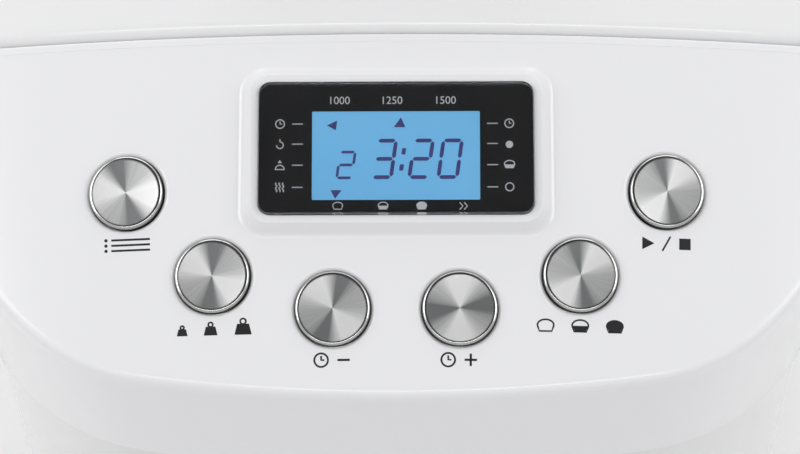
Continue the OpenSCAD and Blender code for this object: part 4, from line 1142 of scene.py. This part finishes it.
# ---------------------------------------------------------------- bread pan
def make_pan(finish):
    """Drawn pan: tapered walls, a wide radius at the floor and a rolled rim."""
    low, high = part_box("bread_pan")
    rim, t, taper, floor_r, corner = 3 * MM, 1.5 * MM, 2.5 * MM, 9 * MM, 24 * MM
    w, d = high[0] - low[0] - 2 * rim, high[1] - low[1] - 2 * rim
    middle, z0, z1 = (low[1] + high[1]) / 2, low[2], high[2]
    bead = (rim + t) / 2
    outer = [(taper + floor_r * (1 - math.sin(a)), z0 + floor_r * (1 - math.cos(a))) for a in FILLET_TURNS]
    roll = [(t - bead + x, z1 - bead + z) for x, z in arc((0, 0), bead, -70.5, -360, 24)]
    inner_r = floor_r - t
    inner = [(taper + t + inner_r * (1 - math.sin(a)), z0 + t + inner_r * (1 - math.cos(a)))
             for a in reversed(FILLET_TURNS)]

    def ring(inset, z):
        return [(x, y + middle, z) for x, y in rounded(w - 2 * inset, d - 2 * inset, corner - inset, 12)]

    skin = Skin()
    skin.loft([ring(inset, z) for inset, z in outer + roll + inner])
    bores = []
    for shaft in ("front_pan_shaft", "rear_pan_shaft"):
        near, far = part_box(shaft)
        bores.append([(x, y + (near[1] + far[1]) / 2) for x, y in circle(8 * MM, 48)])
    for z in (z0, z0 + t):
        skin.sheet([(x, y) for x, y, _ in ring(taper + floor_r, z)], bores, lambda x, y, z=z: z, 20 * MM)
    for bore in bores:
        skin.loft([[(x, y, z) for x, y in bore] for z in (z0, z0 + t)])
    put(skin.piece("bread_pan_shell", finish, 32), "bread_pan_body", "coated_sheet", "bread_pan")


# ---------------------------------------------------------------- repeated pieces
def repeat_tree():
    """Node group: one item set on each point of a mesh, turned by an angle, then made real."""
    tree = bpy.data.node_groups.new("repeat_on_points", "GeometryNodeTree")
    face = tree.interface
    face.new_socket("Points", in_out="INPUT", socket_type="NodeSocketGeometry")
    face.new_socket("Item", in_out="INPUT", socket_type="NodeSocketObject")
    face.new_socket("Turn", in_out="INPUT", socket_type="NodeSocketFloat")
    face.new_socket("Finish", in_out="INPUT", socket_type="NodeSocketMaterial")
    face.new_socket("Pieces", in_out="OUTPUT", socket_type="NodeSocketGeometry")
    source = tree.nodes.new("NodeGroupInput").outputs
    index = add_node(tree, "GeometryNodeInputIndex")
    angle = add_node(tree, "ShaderNodeMath", [(0, index.outputs[0]), (1, source["Turn"])],
                     operation="MULTIPLY")
    turn = add_node(tree, "ShaderNodeCombineXYZ", [("Z", angle.outputs[0])])
    item = add_node(tree, "GeometryNodeObjectInfo", [("Object", source["Item"])])
    spread = add_node(tree, "GeometryNodeInstanceOnPoints", [
        ("Points", source["Points"]), ("Instance", item.outputs["Geometry"]),
        ("Rotation", turn.outputs["Vector"])])
    real = add_node(tree, "GeometryNodeRealizeInstances", [("Geometry", spread.outputs["Instances"])])
    dressed = add_node(tree, "GeometryNodeSetMaterial", [
        ("Geometry", real.outputs["Geometry"]), ("Material", source["Finish"])])
    result = tree.nodes.new("NodeGroupOutput")
    tree.links.new(dressed.outputs["Geometry"], result.inputs["Pieces"])
    return tree


def repeated(tree, name, item, places, turn, finish):
    """One piece made of copies of an item at each place; turn is the step between their angles."""
    mesh = bpy.data.meshes.new(name)
    mesh.from_pydata([tuple(p) for p in places], [], [])
    piece = bpy.data.objects.new(name, mesh)
    bpy.context.scene.collection.objects.link(piece)
    spread = piece.modifiers.new("repeat", "NODES")
    spread.node_group = tree
    values = {"Item": item, "Turn": turn, "Finish": finish}
    for socket in tree.interface.items_tree:
        if socket.in_out == "INPUT" and socket.name in values:
            spread[socket.identifier] = values[socket.name]
    settle(piece)
    bpy.data.objects.remove(item)
    return dress(piece, finish, 32)


def lathe(name, profile, finish, count=32):
    """Turned piece about the Z axis from its profile of radius and height."""
    skin = Skin()
    skin.solid([[(x, y, z) for x, y in circle(r, count)] for r, z in profile])
    return skin.piece(name, finish, 32)


def centres(node, size):
    """Middle of each separate solid of a node, told apart by gaps wider than size."""
    groups = []
    for vertex in frame["nodes"][node].data.vertices:
        p = Vector(vertex.co)
        for group in groups:
            if (group[0].xy - p.xy).length < size:
                group.append(p)
                break
        else:
            groups.append([p])
    middles = []
    for group in groups:
        low = [min(p[k] for p in group) for k in range(3)]
        high = [max(p[k] for p in group) for k in range(3)]
        middles.append(Vector(((low[0] + high[0]) / 2, (low[1] + high[1]) / 2, low[2])))
    return sorted(middles, key=lambda p: (round(p.x, 3), round(p.y, 3)))


def make_feet(rubber):
    """Four ribbed rubber feet, set on their points."""
    tree = repeat_tree()
    low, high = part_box("rubber_feet")
    r, h = 12 * MM, 6 * MM
    foot = lathe("foot", [(r * 0.72, 0), (r * 0.93, 0), (r * 0.985, 0.4 * MM), (r, 1.2 * MM),
                          (r, 2.2 * MM), (r * 0.965, 2.5 * MM), (r, 2.8 * MM), (r, 3.8 * MM),
                          (r * 0.965, 4.1 * MM), (r, 4.4 * MM), (r, h), (4.1 * MM, h),
                          (3.9 * MM, high[2] - 0.3 * MM), (3 * MM, high[2]), (0.4 * MM, high[2]),
                          (0.4 * MM, 1.2 * MM), (r * 0.6, 1.2 * MM)], rubber)
    places = [Vector((p.x, p.y, low[2])) for p in centres("rubber_feet", 26 * MM)]
    put(repeated(tree, "ribbed_feet", foot, places, 0.9, rubber), "root", "rubber", "rubber_feet")


# ---------------------------------------------------------------- finishes
white = glossy_abs("white_abs")
finishes = {
    "white_abs": white,
    "lower_abs": glossy_abs("white_abs_lower", "#e2e2e2", 0.2),
    "lid_abs": glossy_abs("white_abs_lid", "#e9e9ea", 0.14),
    "base_plastic": grained("moulded_polypropylene", "#c9c9c6", 0.5, 1.4, 0.04),
    "rubber": grained("black_rubber", "#171717", 0.75, 0.9, 0.06),
    "clear_acrylic": clear_plate("clear_acrylic", "#fbfbfd", 0.01, 1.49),
    "lcd": lit_cell("lcd_glow"),
    "light_guide": grained("light_guide_acrylic", "#dfe9f2", 0.2, 0.3, 0.01),
    "circuit_board": circuit_board("green_solder_mask"),
    "electronic_parts": grained("black_moulded_epoxy", "#151516", 0.5, 1.5, 0.03),
    "spun_aluminium": grained("aluminium_rim", "#c9c9c8", 0.14, 2.5, 0.004, 1.0),
    "steel": brushed("zinc_plated_steel", "#c3c4c4", 0.32, 2),
    "polished_steel": brushed("polished_stainless_wire", "#d9d9da", 0.14, 1),
    "liner_aluminium": brushed("satin_aluminium_sheet", "#cfd0cf", 0.38, 1),
    "coated_sheet": speckled_coating("non_stick_coating"),
    "cast_aluminium": grained("die_cast_aluminium", "#a9aaa9", 0.48, 0.7, 0.08, 1.0),
    "bronze": grained("sintered_bronze", "#a8824a", 0.42, 2.6, 0.03, 1.0),
    "ceramic": grained("unglazed_steatite", "#ddd6c4", 0.7, 1.2, 0.05),
    "heater_metal": grained("oxidised_sheath", "#5a5450", 0.45, 0.5, 0.02, 0.9, tint=0.35),
    "glass": clear_plate("lid_glass_float", "#eef6f4", 0.0, 1.52),
    "silicone": grained("grey_silicone", "#3a3a3b", 0.6, 0.8, 0.02),
    "pulley_plastic": grained("glass_filled_nylon", "#1c1c1e", 0.55, 1.1, 0.05),
    "belt_rubber": grained("ribbed_belt_rubber", "#111111", 0.7, 1.6, 0.06),
    "grip_plastic": grained("silver_grey_abs", "#bcbdbf", 0.3, 1.3, 0.02, 0.2),
    "cable_jacket": grained("grey_pvc_jacket", "#b4b4b2", 0.45, 0.9, 0.02)}
for part in frame["record"]["subparts"]:
    for holder in frame["nodes"][part["node"]].material_slots:
        holder.material = finishes[part["material_slot"]]
black_print = grained("black_print", "#1a1a1b", 0.35, 1.8, 0.005)
# pale ink with a painted glow: its emission stands in for the light that reaches it through the lens
pale_print_painted_glow = grained("pale_print_painted_glow", "#c9cccf", 0.5, 1.8, 0.004, Emission_Color=linear("#c9cccf"),
                     Emission_Strength=0.12)
mask_ink = grained("black_mask_ink", "#0b0a0d", 0.4, 1.5, 0.004)
segment_ink = grained("lcd_segment_ink", "#34346e", 0.5, 1.5, 0.004, Emission_Color=linear("#3c3c78"),
                      Emission_Strength=0.45)

# ---------------------------------------------------------------- the model
make_upper_housing(finishes["white_abs"])
make_lower_housing(finishes["lower_abs"])
make_lid(finishes["lid_abs"])
make_grip(finishes["grip_plastic"])
make_lid_glass(finishes["glass"])
for button in BUTTONS:
    make_button(button, finishes["spun_aluminium"])
make_button_prints(black_print)
make_lens(finishes["clear_acrylic"])
make_mask(mask_ink)
make_screen(finishes["lcd"], segment_ink)
make_window_prints(pale_print_painted_glow)
make_pan(finishes["coated_sheet"])
make_feet(finishes["rubber"])

# ---------------------------------------------------------------- floor, camera and lights
FLOOR_HALF, FLOOR_Z = 3, -0.2 * MM
floor_skin = Skin()
floor_skin.cap([(FLOOR_HALF * x, FLOOR_HALF * y, FLOOR_Z) for x, y in ((-1, -1), (1, -1), (1, 1), (-1, 1))])
floor_skin.piece("worktop", grained("matt_white_worktop", "#f6f6f6", 0.6, 0.9, 0.01, tint=0.02))
make_camera()
make_world()
bpy.context.scene.view_settings.view_transform = "Standard"
add_light("left", (-0.95, -0.2, 1.1), (0, -0.1, 0.25), (0.8, 1.0), 6.2)
add_light("right", (0.95, -0.2, 1.1), (0, -0.1, 0.25), (0.8, 1.0), 5.6)
add_light("front", (0, -0.8, 1.2), (0, -0.1, 0.25), (0.9, 0.1), 1.1)
add_light("back", (0, 1.1, 1.0), (0, 0, 0.28), (1.4, 0.5), 4.5)
